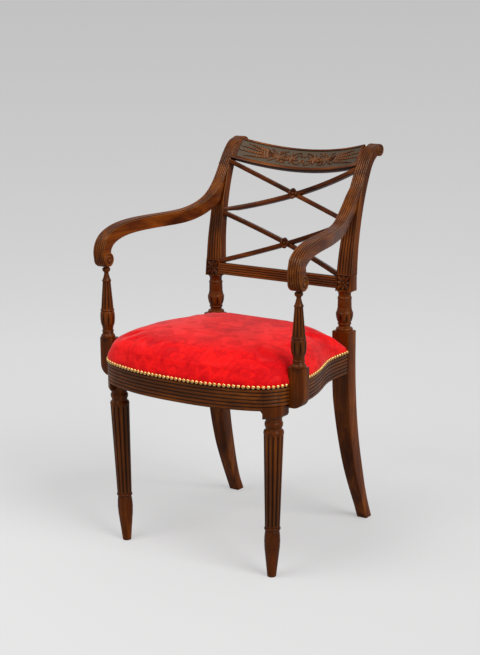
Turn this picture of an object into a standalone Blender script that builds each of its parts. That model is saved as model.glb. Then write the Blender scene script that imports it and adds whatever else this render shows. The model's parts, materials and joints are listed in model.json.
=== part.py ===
"""A carved mahogany armchair with a scrolled back, two pairs of crossed bars and a stuffed seat.

Metres, Z up. The chair faces -Y, and left and right are those of a person looking at its front.
Each pair of pieces is drawn on the right, at positive X, and copied to the left.
"""

import math

import bmesh
import bpy
import numpy as np
from mathutils import Matrix, Vector

# Clearance left in every joint, and between pieces that touch
GAP = 0.0003

# How far the flat facets of a curve may stray from it, left clear where another curve is fitted
CURVE_SLACK = 0.0008

# Heights of the seat frame
RAIL_BOTTOM = 0.3583
REED_PITCH = 0.00735
RAIL_REEDS = 6
RAIL_REED_DEPTH = 0.0017
COVER_LAP = 0.009
RAIL_THICK = 0.022
REBATE = 0.0019
REEDS_TOP = RAIL_BOTTOM + RAIL_REEDS * REED_PITCH
RAIL_TOP = REEDS_TOP + COVER_LAP

# Rear post's square at the seat
POST_OUT_X = 0.1893
POST_SEAT_WIDE = 0.0410
POST_FRONT, POST_DEEP = 0.1343, 0.0325
POST_SEAT_TOP = 0.4490

# Plan of the seat, along the outer face of the rails from the middle of the front to the back
SEAT_FRONT = -0.2425
WIDE_X, WIDE_Y = 0.2272, -0.0900
BOW_X, BOW_Y = 0.090, SEAT_FRONT + 0.0055
SHOULDER_X, SHOULDER_Y = WIDE_X - 0.0742, SEAT_FRONT + 0.0210
CORNER_X, CORNER_Y = WIDE_X - 0.0228, SEAT_FRONT + 0.0481
REAR_X, REAR_Y = POST_OUT_X - 0.0010, POST_FRONT - 0.0005
WAIST_X, WAIST_Y = REAR_X + 0.0014, 0.0600
HIP_X, HIP_Y = WAIST_X + 0.56 * (WIDE_X - WAIST_X), -0.0120

# Front leg
LEG_X, LEG_Y = CORNER_X - 0.0084, CORNER_Y + 0.0251
LEG_RAKE_X, LEG_RAKE_Y = 0.0084, -0.0033
LEG_SQUARE = 0.043
LEG_BLOCK_BOTTOM = RAIL_BOTTOM - 0.0170
LEG_LAP = 0.017
REEDS_STOP = 0.0022
LEG_CHAMFER = 0.0150
LEG_SLOPE_IN, LEG_SLOPE_HIGH = 0.0032, 0.0055
LEG_FOOT_R = 0.0091
LEG_BULB_Z, LEG_BULB_R = 0.0800, 0.0166
LEG_RING_Z = 0.1050
LEG_RING_R = 0.0168
LEG_REEDS = 12
LEG_REED_DEPTH = 0.0015
LEG_REED_BOTTOM_R = 0.0155
LEG_REED_TOP_Z = 0.3060
LEG_REED_TOP_R = 0.0203
LEG_NECK_R = 0.0165
LEG_BEAD_R = 0.0187

# Rear post: sabre leg, square at the seat, turned length, carved square and stile
SABRE_TOP = 0.4000
SABRE_SWEEP, SABRE_POWER = 0.0885, 2.15
SABRE_TOE_DEEP = 0.0235
SABRE_TOE_WIDE = 0.0245
SABRE_WIDE_FROM, SABRE_WIDE_TO = 0.0300, 0.3000
SABRE_TUCK = 0.0025
TURN_X, TURN_Y = 0.1684, 0.1528
TURN_TOP = 0.5350
TURN_COLLAR_Z, TURN_RING_Z = 0.4640, 0.5195
TURN_BELLY_Z, TURN_BELLY_R = 0.4880, 0.0180
TURN_NECK_R = 0.0138
TURN_RING_R = 0.0155
PATERA_HIGH = 0.0370
STILE_OUT_X = 0.1884
STILE_FOOT_WIDE, STILE_TOP_WIDE = 0.0370, 0.0270
STILE_REEDS = 5
STILE_REED_DEPTH = 0.0013
SCROLL_R, SCROLL_PROUD = 0.0135, 0.0005

# Side view of the stile as Y and Z: its front below the arm's foot, its front above, and its back
STILE_FRONT = ((0.1398, 0.5350), (0.1440, 0.5720), (0.1523, 0.6300), (0.1589, 0.6590), (0.1669, 0.6942),
               (0.1823, 0.7385), (0.1995, 0.7820))
STILE_FACE = ((0.1962, 0.7825), (0.2110, 0.8046), (0.2250, 0.8210), (0.2390, 0.8316), (0.2600, 0.8375))
STILE_BACK = ((0.1699, 0.5350), (0.1716, 0.5750), (0.1757, 0.6221), (0.1831, 0.6641), (0.1950, 0.7098),
              (0.2106, 0.7529), (0.2219, 0.7775), (0.2350, 0.7990), (0.2480, 0.8105), (0.2620, 0.8165))
SCROLL_Y, SCROLL_Z = STILE_FACE[-1][0] + 0.0055, STILE_FACE[-1][1] - 0.0120
ARM_APEX_Z = 0.6980

# Arm: the outer edge of its reeded face from the stile to the scroll, as its share of the way out, Y and Z
ARM_EDGE = ((-0.002, 0.1940, 0.7785), (-0.003, 0.1803, 0.7582), (-0.012, 0.1696, 0.7458),
            (-0.003, 0.1562, 0.7315), (0.023, 0.1424, 0.7196), (0.072, 0.1276, 0.7102),
            (0.255, 0.0854, 0.6955), (0.488, 0.0314, 0.6908), (0.700, -0.0218, 0.6895),
            (0.840, -0.0800, 0.6868), (0.935, -0.1340, 0.6750), (0.978, -0.1600, 0.6580),
            (0.995, -0.1716, 0.6340), (0.999, -0.1714, 0.6175), (1.000, -0.1657, 0.6033),
            (1.000, -0.1560, 0.5955))
ARM_DEEP = 0.0285
ARM_WIDE_STILE, ARM_WIDE_MIDDLE, ARM_WIDE_SCROLL = 0.0270, 0.0226, 0.0280
ARM_REEDS = 5
ARM_REED_DEPTH = 0.0013
ARM_SCROLL_Y, ARM_SCROLL_Z, ARM_SCROLL_R = -0.1525, 0.6112, 0.0163
ARM_BOSS_R, ARM_BOSS_HIGH = 0.0080, 0.0012

# Arm support: a block housed in the rail, a turned belly, a reeded taper and a pin into the arm
BLOCK_Y, BLOCK_DEEP = -0.1440, 0.0250
BLOCK_IN_X, BLOCK_WIDE = WIDE_X - 0.0060, 0.0342
BLOCK_BOTTOM, BLOCK_HIGH = RAIL_BOTTOM + 0.0005, 0.0830
BLOCK_OUT_X, BLOCK_TOP = BLOCK_IN_X + BLOCK_WIDE, BLOCK_BOTTOM + BLOCK_HIGH
BLOCK_ROUND = 0.024
SUPPORT_X, SUPPORT_Y = BLOCK_IN_X + 0.0186, BLOCK_Y - 0.0034
ARM_OUT_X = SUPPORT_X + 0.0153
SUPPORT_BASE_R = 0.0150
SUPPORT_NECK_R = 0.0110
SUPPORT_BELLY_Z, SUPPORT_BELLY_R = 0.4870, 0.0157
SUPPORT_REED_Z, SUPPORT_REED_R = 0.5035, 0.0134
SUPPORT_TAPER_Z, SUPPORT_TAPER_R = 0.5630, 0.0086
SUPPORT_REEDS, SUPPORT_REED_DEPTH = 10, 0.0011
SUPPORT_PINCH_R = 0.0046
SUPPORT_BEAD_R = 0.0086
SUPPORT_TOP = 0.5943
PIN_R, PIN_LONG = 0.0040, 0.0100
SCREW_R, SCREW_HEAD_R, SCREW_HEAD_HIGH, SCREW_LONG = 0.0020, 0.0040, 0.0025, 0.030
SCREW_OFFSET, SCREW_FROM_EDGE, SCREW_SINK = 0.0065, 0.0140, 0.0020

# Stay rail, crest rail and crossed bars
STAY_UP, STAY_HIGH, STAY_DEEP = 0.0056, 0.0256, 0.0170
STAY_REEDS, STAY_REED_DEPTH = 5, 0.0012
BACK_BOW = 0.0335
CREST_LOW_Y, CREST_LOW_Z = 0.2066, 0.7950
CREST_LEAN, CREST_RISE = 0.0364, 0.0435
CREST_THICK = 0.0138
CREST_BEAD, CREST_SUNK = 0.0085, 0.0015
BAR_HIGH, BAR_DEEP = 0.0100, 0.0140
BARS_MEET_Z = 0.6797
UPPER_BAR_TOP_Y, UPPER_BAR_TOP_Z = CREST_LOW_Y - 0.0056, CREST_LOW_Z - 0.0060
UPPER_BAR_LOW_Y, UPPER_BAR_LOW_Z = 0.1680, BARS_MEET_Z + 0.0037
UPPER_BAR_BACK, UPPER_BAR_DOWN = 0.0320, 0.0120
LOWER_BAR_TOP_Y, LOWER_BAR_TOP_Z = 0.1655, BARS_MEET_Z - 0.0029
LOWER_BAR_LOW_Y, LOWER_BAR_LOW_Z = 0.1440, 0.5712
LOWER_BAR_BACK, LOWER_BAR_DOWN = 0.0282, 0.0055
ROSETTE_R, ROSETTE_THICK = 0.0113, 0.0045

# Mortise and tenon joints
TENON_THICK = 0.0080
TENON_LONG = 0.0170
TENON_SHOULDER = 0.0080
BAR_TENON_LONG, BAR_TENON_HIGH = 0.0120, 0.0040

# Seat: rear rail, corner blocks, webbing and stuffing
REAR_RAIL_OUT, REAR_RAIL_THICK = 0.1670, 0.0200
CORNER_BLOCK_HIGH = 0.0300
CORNER_BLOCK_LEG = 0.0450
WEB_WIDE, WEB_THICK = 0.0400, 0.0012
WEB_SPACING, WEB_FROM_EDGE = 0.0900, 0.0070
WEB_MIDDLE_Y = -0.0450
SEAT_COVER, SEAT_BULGE = 0.0015, 0.0008
SEAT_SIDE = 0.0310
SEAT_CROWN = 0.0700
SEAT_ROLL_SHARE = 0.77
SEAT_ROLL = 0.0260
SEAT_MIDDLE_Y = -0.0350

# Finishes: colour, roughness and metal
FINISHES = {
    "mahogany": ((0.085, 0.026, 0.012), 0.32, 0.0),
    "beech": ((0.42, 0.27, 0.14), 0.60, 0.0),
    "jute": ((0.33, 0.22, 0.11), 0.90, 0.0),
    "red_damask": ((0.74, 0.012, 0.022), 0.55, 0.0),
    "iron": ((0.20, 0.19, 0.18), 0.50, 1.0),
}

CHAIR = "carved_armchair"


def clear_scene():
    """Empties the scene and gives it a collection for the chair and one for the cutters."""
    for item in list(bpy.data.objects):
        bpy.data.objects.remove(item)
    for name in (CHAIR, "cutters"):
        bpy.context.scene.collection.children.link(bpy.data.collections.new(name))


def finish(name):
    """The material of a finish, made the first time that it is asked for."""
    found = bpy.data.materials.get(name)
    if found:
        return found
    colour, roughness, metal = FINISHES[name]
    made = bpy.data.materials.new(name)
    made.use_nodes = True
    shader = made.node_tree.nodes["Principled BSDF"]
    shader.inputs["Base Color"].default_value = (*colour, 1.0)
    shader.inputs["Roughness"].default_value = roughness
    shader.inputs["Metallic"].default_value = metal
    return made


def spline(points, count):
    """Evenly spaced points on the natural cubic spline through a few given ones."""
    points = np.array(points, float)
    knots = np.concatenate([[0.0], np.cumsum(np.linalg.norm(np.diff(points, axis=0), axis=1))])
    step = np.diff(knots)[:, None]
    slope = np.diff(points, axis=0) / step
    size = len(points)
    system = np.eye(size)
    wanted = np.zeros_like(points)
    for i in range(1, size - 1):
        before, after = step[i - 1, 0], step[i, 0]
        system[i, i - 1:i + 2] = before, 2 * (before + after), after
        wanted[i] = 6 * (slope[i] - slope[i - 1])
    bend = np.linalg.solve(system, wanted)
    at = np.linspace(0, knots[-1], 60 * size)
    span = np.clip(np.searchsorted(knots, at, side="right") - 1, 0, size - 2)
    along = (at - knots[span])[:, None]
    left = knots[span + 1][:, None] - at[:, None]
    width = step[span]
    fine = (bend[span] * left ** 3 + bend[span + 1] * along ** 3) / (6 * width)
    fine += (points[span] / width - bend[span] * width / 6) * left
    fine += (points[span + 1] / width - bend[span + 1] * width / 6) * along
    return evenly(fine, count)


def evenly(line, count):
    """A line drawn again with a number of points at even distances."""
    run = np.concatenate([[0.0], np.cumsum(np.linalg.norm(np.diff(line, axis=0), axis=1))])
    at = np.linspace(0, run[-1], count)
    return np.column_stack([np.interp(at, run, column) for column in line.T])


def directions(line):
    """Unit vectors along a line at each of its points."""
    heading = np.gradient(line, axis=0)
    return heading / np.linalg.norm(heading, axis=1)[:, None]


def reeds(count, width, depth):
    """Across positions and depths of a row of round reeds, from one valley to the last."""
    across, height = [0.0], [-depth]
    pitch = width / count
    for i in range(count):
        for part, drop in ((0.28, 0.08), (0.72, 0.08), (1.0, 1.0)):
            across.append((i + part) * pitch)
            height.append(-depth * drop)
    return np.array(across), np.array(height)


def new_piece(name, mesh, finish_name):
    """An object of the chair from a bmesh, with smooth round faces and sharp corners."""
    bmesh.ops.recalc_face_normals(mesh, faces=mesh.faces)
    data = bpy.data.meshes.new(name)
    mesh.to_mesh(data)
    mesh.free()
    data.shade_smooth()
    data.set_sharp_from_angle(angle=math.radians(35))
    data.materials.append(finish(finish_name))
    piece = bpy.data.objects.new(name, data)
    bpy.data.collections[CHAIR].objects.link(piece)
    return piece


def loft(name, rings, finish_name="mahogany"):
    """A closed solid through rings of equally many points, with flat ends."""
    mesh = bmesh.new()
    rows = [[mesh.verts.new(point) for point in ring] for ring in rings]
    for lower, upper in zip(rows, rows[1:]):
        for i, corner in enumerate(lower):
            j = (i + 1) % len(lower)
            mesh.faces.new((corner, lower[j], upper[j], upper[i]))
    mesh.faces.new(rows[0][::-1])
    mesh.faces.new(rows[-1])
    return new_piece(name, mesh, finish_name)


def turned(name, profile, x, y, steps=14, rake=(0.0, 0.0), rake_foot=0.0, finish_name="mahogany"):
    """A turned solid from heights and radii, listed upwards, on an axis that may lean a little."""
    data = bpy.data.meshes.new(name)
    outline = [(0.0, 0.0, profile[-1][0])]
    outline += [(radius, 0.0, height) for height, radius in reversed(profile)]
    outline += [(0.0, 0.0, profile[0][0])]
    data.from_pydata(outline, [(i, i + 1) for i in range(len(outline) - 1)], [])
    piece = bpy.data.objects.new(name, data)
    bpy.data.collections[CHAIR].objects.link(piece)
    screw = piece.modifiers.new("turning", "SCREW")
    screw.steps = screw.render_steps = steps
    screw.use_merge_vertices = True
    screw.merge_threshold = 0.00001
    bake(piece)
    for vertex in piece.data.vertices:
        lean = vertex.co.z - rake_foot
        vertex.co.x += x + rake[0] * lean
        vertex.co.y += y + rake[1] * lean
    piece.data.materials.append(finish(finish_name))
    piece.data.shade_smooth()
    return piece


def box(name, centre, size, tilt=0.0, roll=0.0, finish_name="mahogany"):
    """A block about its centre, tilted about X after a roll about Y."""
    mesh = bmesh.new()
    bmesh.ops.create_cube(mesh, size=1.0)
    bmesh.ops.scale(mesh, vec=size, verts=mesh.verts)
    turn = Matrix.Translation(centre) @ Matrix.Rotation(tilt, 4, "X") @ Matrix.Rotation(roll, 4, "Y")
    bmesh.ops.transform(mesh, matrix=turn, verts=mesh.verts)
    return new_piece(name, mesh, finish_name)


def disc(name, centre, radius, length, axis="X", sides=24, finish_name="mahogany"):
    """A cylinder along X, Y or Z about its centre."""
    mesh = bmesh.new()
    bmesh.ops.create_cone(mesh, cap_ends=True, segments=sides, radius1=radius, radius2=radius, depth=length)
    turn = {"X": Matrix.Rotation(math.pi / 2, 4, "Y"), "Y": Matrix.Rotation(math.pi / 2, 4, "X"),
            "Z": Matrix.Identity(4)}[axis]
    bmesh.ops.transform(mesh, matrix=Matrix.Translation(centre) @ turn, verts=mesh.verts)
    return new_piece(name, mesh, finish_name)


def bake(piece):
    """Applies a piece's modifiers to its mesh."""
    graph = bpy.context.evaluated_depsgraph_get()
    made = bpy.data.meshes.new_from_object(piece.evaluated_get(graph))
    piece.modifiers.clear()
    piece.data = made
    return piece


def combine(piece, tools, operation):
    """Joins solids to a piece, or cuts them out of it, and puts them away with the cutters."""
    for tool in tools:
        change = piece.modifiers.new(operation.lower(), "BOOLEAN")
        change.operation = operation
        change.object = tool
        change.solver = "EXACT"
    bake(piece)
    for tool in tools:
        tool.hide_render = True
        tool.display_type = "WIRE"
        for home in tool.users_collection:
            home.objects.unlink(tool)
        bpy.data.collections["cutters"].objects.link(tool)
    return piece


def join(piece, *tools):
    """Makes one solid of a piece and others that it overlaps."""
    return combine(piece, tools, "UNION")


def cut(piece, *tools):
    """Cuts solids out of a piece."""
    return combine(piece, tools, "DIFFERENCE")


def tenon(rail, post, centre, size, tilt=0.0):
    """Gives a rail a tenon and its post the mortise, which is larger by the clearance."""
    join(rail, box(rail.name + "_tenon", centre, size, tilt))
    roomy = [side + 2 * GAP for side in size]
    cut(post, box(post.name + "_mortise", centre, roomy, tilt))


def mirrored(piece, name):
    """The left-hand copy of a right-hand piece."""
    data = piece.data.copy()
    data.transform(Matrix.Scale(-1, 4, (1, 0, 0)))
    data.flip_normals()
    copy = bpy.data.objects.new(name, data)
    bpy.data.collections[CHAIR].objects.link(copy)
    return copy


def seat_plan():
    """The plan of the seat's right half at the crests of the reeds, and its outward directions."""
    half = [(0.0, SEAT_FRONT), (BOW_X, BOW_Y), (SHOULDER_X, SHOULDER_Y), (CORNER_X, CORNER_Y),
            (WIDE_X, WIDE_Y), (HIP_X, HIP_Y), (WAIST_X, WAIST_Y), (REAR_X, REAR_Y),
            (REAR_X - 0.003, REAR_RAIL_OUT)]
    whole = [(-x, y) for x, y in reversed(half[1:])] + half
    line = spline(whole, 1601)
    along = directions(line)
    outward = np.column_stack([along[:, 1], -along[:, 0]])
    right = line[:, 0] >= -1e-9
    return line[right], outward[right]


PLAN, PLAN_OUT = seat_plan()


def plan_index(x=None, y=None):
    """Where the plan's right half passes an X on its front, or a Y on its side."""
    if y is None:
        return int(np.argmin(np.abs(PLAN[:, 0] - x) + 10 * (PLAN[:, 1] > CORNER_Y)))
    return int(np.argmin(np.abs(PLAN[:, 1] - y) + 10 * (PLAN[:, 0] < CORNER_X - 0.1)))


def plan_piece(at, inset=0.0):
    """Points and outward directions at stations of the plan, moved in by an inset."""
    places = np.arange(len(PLAN))
    line = np.column_stack([np.interp(at, places, column) for column in PLAN.T])
    outward = np.column_stack([np.interp(at, places, column) for column in PLAN_OUT.T])
    return line - outward * inset, outward


SEAM_X, CORNER_REAR_Y = LEG_X - LEG_SQUARE / 2 + LEG_LAP, LEG_Y + LEG_SQUARE / 2
FRONT_STATIONS = np.linspace(0, plan_index(x=SEAM_X), 8)
CORNER_STATIONS = np.linspace(plan_index(x=SEAM_X), plan_index(y=CORNER_REAR_Y), 6)
SIDE_STATIONS = np.linspace(plan_index(y=CORNER_REAR_Y), plan_index(y=POST_FRONT), 12)


def inset_line(inset, x=(0.0, 1.0), y=(-1.0, 1.0), count=4):
    """The plan moved in by an inset, where it lies between two limits of X and of Y."""
    line = PLAN - PLAN_OUT * inset
    kept = (line[:, 0] > x[0]) & (line[:, 0] < x[1]) & (line[:, 1] > y[0]) & (line[:, 1] < y[1])
    return evenly(line[kept], count)


def rail_section(lowest=0, plain=False, thick=RAIL_THICK):
    """The rail's section as outward offsets and heights: reeds, a rebate for the cover, and a flat back."""
    across, height = reeds(RAIL_REEDS - lowest, (RAIL_REEDS - lowest) * REED_PITCH, RAIL_REED_DEPTH)
    bottom = RAIL_BOTTOM + lowest * REED_PITCH
    face = [(0.0, bottom), (0.0, REEDS_TOP)] if plain else list(zip(height, bottom + across))
    return face + [(-REBATE, REEDS_TOP), (-REBATE, RAIL_TOP), (-thick, RAIL_TOP), (-thick, bottom)]


def band(name, line, outward, section, finish_name="mahogany"):
    """A section carried along a plan."""
    rings = []
    for point, out in zip(line, outward):
        rings.append([(*(point + out * offset), height) for offset, height in section])
    return loft(name, rings, finish_name)


def outline_prism(name, corners, low, high, finish_name="mahogany"):
    """A solid that stands on a plan outline."""
    return loft(name, [[(x, y, z) for x, y in corners] for z in (low, high)], finish_name)


def reeded_taper(name, axis, foot, top, count, depth, rake=(0.0, 0.0), rake_foot=0.0):
    """A tapering reeded shaft between two heights with their radii, whose reeds run out at both ends."""
    rings = []
    for along, share in ((0.0, 0.3), (0.05, 1.0), (0.97, 1.0), (1.0, 0.2)):
        z, radius = (1 - along) * np.array(foot) + along * np.array(top)
        across, drop = reeds(count, 2 * math.pi, depth * share)
        reach = radius + drop[:-1]
        lean = z - rake_foot
        rings.append(np.column_stack([axis[0] + rake[0] * lean + reach * np.cos(across[:-1]),
                                      axis[1] + rake[1] * lean + reach * np.sin(across[:-1]),
                                      np.full(len(reach), z)]))
    return loft(name, rings)


def make_front_leg():
    """Turned foot, reeded taper, turned neck, and a square that carries the reeds round the corner."""
    rake = (LEG_RAKE_X / LEG_BLOCK_BOTTOM, LEG_RAKE_Y / LEG_BLOCK_BOTTOM)
    lean = {"rake": rake, "rake_foot": LEG_BLOCK_BOTTOM}
    ring, bulb, swell = LEG_RING_Z, LEG_BULB_Z, LEG_BULB_R
    reed_low = ring + 0.0055
    profile = [(0.0, LEG_FOOT_R), (0.44 * bulb, 0.5 * (LEG_FOOT_R + swell)), (0.83 * bulb, swell - 0.0006)]
    profile += [(bulb, swell), (bulb + 0.011, swell - 0.0009), (ring - 0.0055, LEG_RING_R - 0.0026)]
    profile += [(ring - 0.003, LEG_RING_R - 0.0022), (ring - 0.001, LEG_RING_R), (ring + 0.002, LEG_RING_R)]
    profile += [(ring + 0.0045, LEG_RING_R - 0.0018), (reed_low + 0.001, LEG_REED_BOTTOM_R - 0.003)]
    foot = turned("foot", profile, LEG_X, LEG_Y, **lean)
    top, girth = LEG_REED_TOP_Z, LEG_REED_TOP_R
    shaft = reeded_taper("reeded_shaft", (LEG_X, LEG_Y), (reed_low, LEG_REED_BOTTOM_R), (top, girth),
                         LEG_REEDS, LEG_REED_DEPTH, **lean)
    rise = LEG_BLOCK_BOTTOM - top
    profile = [(top - 0.001, girth - 0.004), (top + 0.04 * rise, girth - 0.0003)]
    profile += [(top + 0.14 * rise, girth - 0.0012), (top + 0.27 * rise, LEG_NECK_R)]
    profile += [(top + 0.37 * rise, LEG_NECK_R), (top + 0.47 * rise, LEG_BEAD_R - 0.0006)]
    profile += [(top + 0.55 * rise, LEG_BEAD_R), (top + 0.63 * rise, LEG_BEAD_R - 0.0008)]
    profile += [(top + 0.71 * rise, LEG_NECK_R + 0.0005), (top + 0.85 * rise, LEG_NECK_R + 0.0002)]
    profile += [(LEG_BLOCK_BOTTOM + 0.001, LEG_BEAD_R)]
    neck = turned("neck", profile, LEG_X, LEG_Y, **lean)
    half = LEG_SQUARE / 2
    plain_top = RAIL_BOTTOM + REED_PITCH
    rings = []
    plain, sunk = 0.0002, RAIL_REED_DEPTH + 0.0012
    levels = [(plain + LEG_SLOPE_IN, LEG_BLOCK_BOTTOM), (plain, LEG_BLOCK_BOTTOM + LEG_SLOPE_HIGH)]
    levels += [(plain, plain_top), (sunk, plain_top + sunk / 2), (sunk, RAIL_TOP)]
    for inset, z in levels:
        curve, _ = plan_piece(CORNER_STATIONS, inset)
        curve[-1, 1] = CORNER_REAR_Y
        if z <= plain_top:
            curve[:, 0] = np.minimum(curve[:, 0], LEG_X + half + plain - inset)
        corners = [(LEG_X - half, CORNER_REAR_Y), (LEG_X - half, LEG_Y - half)]
        corners.append((curve[0, 0] - 0.0005, LEG_Y - half))
        rings.append([(x, y, z) for x, y in corners + [tuple(point) for point in curve]])
    leg = loft("front_leg_right", rings)
    chamfer = box("chamfer", (LEG_X - half, LEG_Y - half, LEG_BLOCK_BOTTOM), (LEG_CHAMFER,) * 3,
                  tilt=math.atan(math.sqrt(0.5)), roll=math.pi / 4)
    cut(leg, chamfer)
    stops = plan_index(x=SEAM_X + REEDS_STOP), plan_index(y=CORNER_REAR_Y - REEDS_STOP)
    corner, corner_out = plan_piece(np.clip(CORNER_STATIONS, *stops))
    reeded = band("reeded_corner", corner, corner_out, rail_section(lowest=1, thick=0.006))
    return join(leg, reeded, neck, shaft, foot)


def post_width(z, foot_z, foot_wide, top_z, top_wide):
    """A width that tapers evenly between two heights."""
    share = np.clip((z - foot_z) / (top_z - foot_z), 0, 1)
    return foot_wide + (top_wide - foot_wide) * share


def sabre_leg():
    """The swept rear leg, with the square at the seat on top of it."""
    rings = []
    heights = list(np.linspace(0.0, SABRE_TOP, 13)) + [POST_SEAT_TOP]
    for z in heights:
        drop = max(0.0, 1 - z / SABRE_TOP)
        swell = np.clip((z - 0.075 * SABRE_TOP) / (0.3 * SABRE_TOP), 0, 1)
        deep = SABRE_TOE_DEEP + (POST_DEEP - SABRE_TOE_DEEP) * swell * swell * (3 - 2 * swell)
        middle = POST_FRONT + POST_DEEP / 2 + SABRE_SWEEP * drop ** SABRE_POWER
        wide = post_width(z, SABRE_WIDE_FROM, SABRE_TOE_WIDE, SABRE_WIDE_TO, POST_SEAT_WIDE)
        right = POST_OUT_X - SABRE_TUCK * max(0.0, 1 - z / SABRE_WIDE_TO)
        chip = 0.0012
        x0, x1, y0, y1 = right - wide, right, middle - deep / 2, middle + deep / 2
        rings.append([(x0 + chip, y0, z), (x1 - chip, y0, z), (x1, y0 + chip, z), (x1, y1 - chip, z),
                      (x1 - chip, y1, z), (x0 + chip, y1, z), (x0, y1 - chip, z), (x0, y0 + chip, z)])
    return loft("rear_post_right", rings)


def stile_inner(z):
    """The stile's inner face at a height."""
    wide = post_width(z, TURN_TOP + PATERA_HIGH, STILE_FOOT_WIDE, STILE_FACE[0][1], STILE_TOP_WIDE)
    return STILE_OUT_X - float(wide)


def stile_ring(front, back, wide, depth):
    """A section of the stile between a front and a back point of its side view, reeded on the front."""
    front, back = np.array(front), np.array(back)
    outwards = (front - back) / np.linalg.norm(front - back)
    across, drop = reeds(STILE_REEDS, wide - 0.0016, depth)
    ring = [(STILE_OUT_X - 0.0008 - a, *(front + outwards * d)) for a, d in zip(across, drop)]
    inner = STILE_OUT_X - wide
    ring += [(inner, *(front - outwards * (depth + 0.0008))), (inner, *back), (STILE_OUT_X, *back),
             (STILE_OUT_X, *(front - outwards * (depth + 0.0008)))]
    return ring


STILE_FRONT_LINE = spline(STILE_FRONT, 200)
STILE_BACK_LINE = spline(STILE_BACK, 400)


STILE_START_Z = TURN_TOP + PATERA_HIGH
STILE_FACETS = evenly(STILE_FRONT_LINE[STILE_FRONT_LINE[:, 1] > STILE_START_Z - 0.001], 8)


def facing_back(front):
    """The point of the stile's back line nearest to a point of its front."""
    return STILE_BACK_LINE[np.argmin(np.linalg.norm(STILE_BACK_LINE - np.array(front), axis=1))]


def make_rear_post():
    """Sabre leg, turned length, carved square, reeded stile and scrolled head, in one piece of wood."""
    post = sabre_leg()
    low, high, neck = POST_SEAT_TOP, TURN_TOP, TURN_NECK_R
    collar, belly, ring = TURN_COLLAR_Z, TURN_BELLY_Z, TURN_RING_Z
    profile = [(low - 0.001, TURN_BELLY_R), (low + 0.005, TURN_BELLY_R + 0.0003)]
    profile += [(low + 0.0085, neck - 0.0010)]
    profile += [(collar - 0.0025, neck - 0.0005), (collar - 0.001, TURN_RING_R - 0.0005)]
    profile += [(collar + 0.001, TURN_RING_R - 0.0005), (collar + 0.003, neck)]
    profile += [(belly - 0.010, TURN_BELLY_R - 0.0018), (belly, TURN_BELLY_R)]
    profile += [(belly + 0.0065, TURN_BELLY_R - 0.0016), (belly + 0.014, neck + 0.0006)]
    profile += [(ring - 0.0025, neck + 0.0008), (ring - 0.001, TURN_RING_R), (ring + 0.0015, TURN_RING_R)]
    profile += [(ring + 0.003, neck + 0.0004), (high - 0.008, neck), (high - 0.003, neck + 0.0016)]
    profile += [(high + 0.001, neck + 0.0040)]
    turning = turned("post_turning", profile, TURN_X, TURN_Y)
    block_rings = []
    for z in (TURN_TOP, STILE_START_Z):
        front = STILE_FRONT_LINE[np.argmin(np.abs(STILE_FRONT_LINE[:, 1] - z)), 0]
        back = STILE_BACK_LINE[np.argmin(np.abs(STILE_BACK_LINE[:, 1] - z)), 0]
        right, left = STILE_OUT_X, STILE_OUT_X - STILE_FOOT_WIDE
        block_rings.append([(left, front, z), (right, front, z), (right, back, z), (left, back, z)])
    block = loft("patera_square", block_rings)

    rings = []
    for front in STILE_FACETS:
        wide = STILE_OUT_X - stile_inner(front[1])
        covered = front[1] > ARM_APEX_Z - 0.004
        rings.append(stile_ring(front, facing_back(front), wide, 0.0001 if covered else STILE_REED_DEPTH))
    upper = spline(STILE_FACE, 6)
    for i, front in enumerate(upper):
        back = facing_back(front)
        if i == 0:
            middle = len(STILE_BACK_LINE) // 2
            back = facing_back(STILE_FACETS[-1]) + 0.0004 * directions(STILE_BACK_LINE)[middle]
        rings.append(stile_ring(front, back, STILE_TOP_WIDE, STILE_REED_DEPTH))
    stile = loft("stile", rings)
    scroll_x = STILE_OUT_X - STILE_TOP_WIDE / 2 + SCROLL_PROUD
    scroll = disc("scroll", (scroll_x, SCROLL_Y, SCROLL_Z), SCROLL_R, STILE_TOP_WIDE)
    return join(post, turning, block, stile, scroll)


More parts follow.
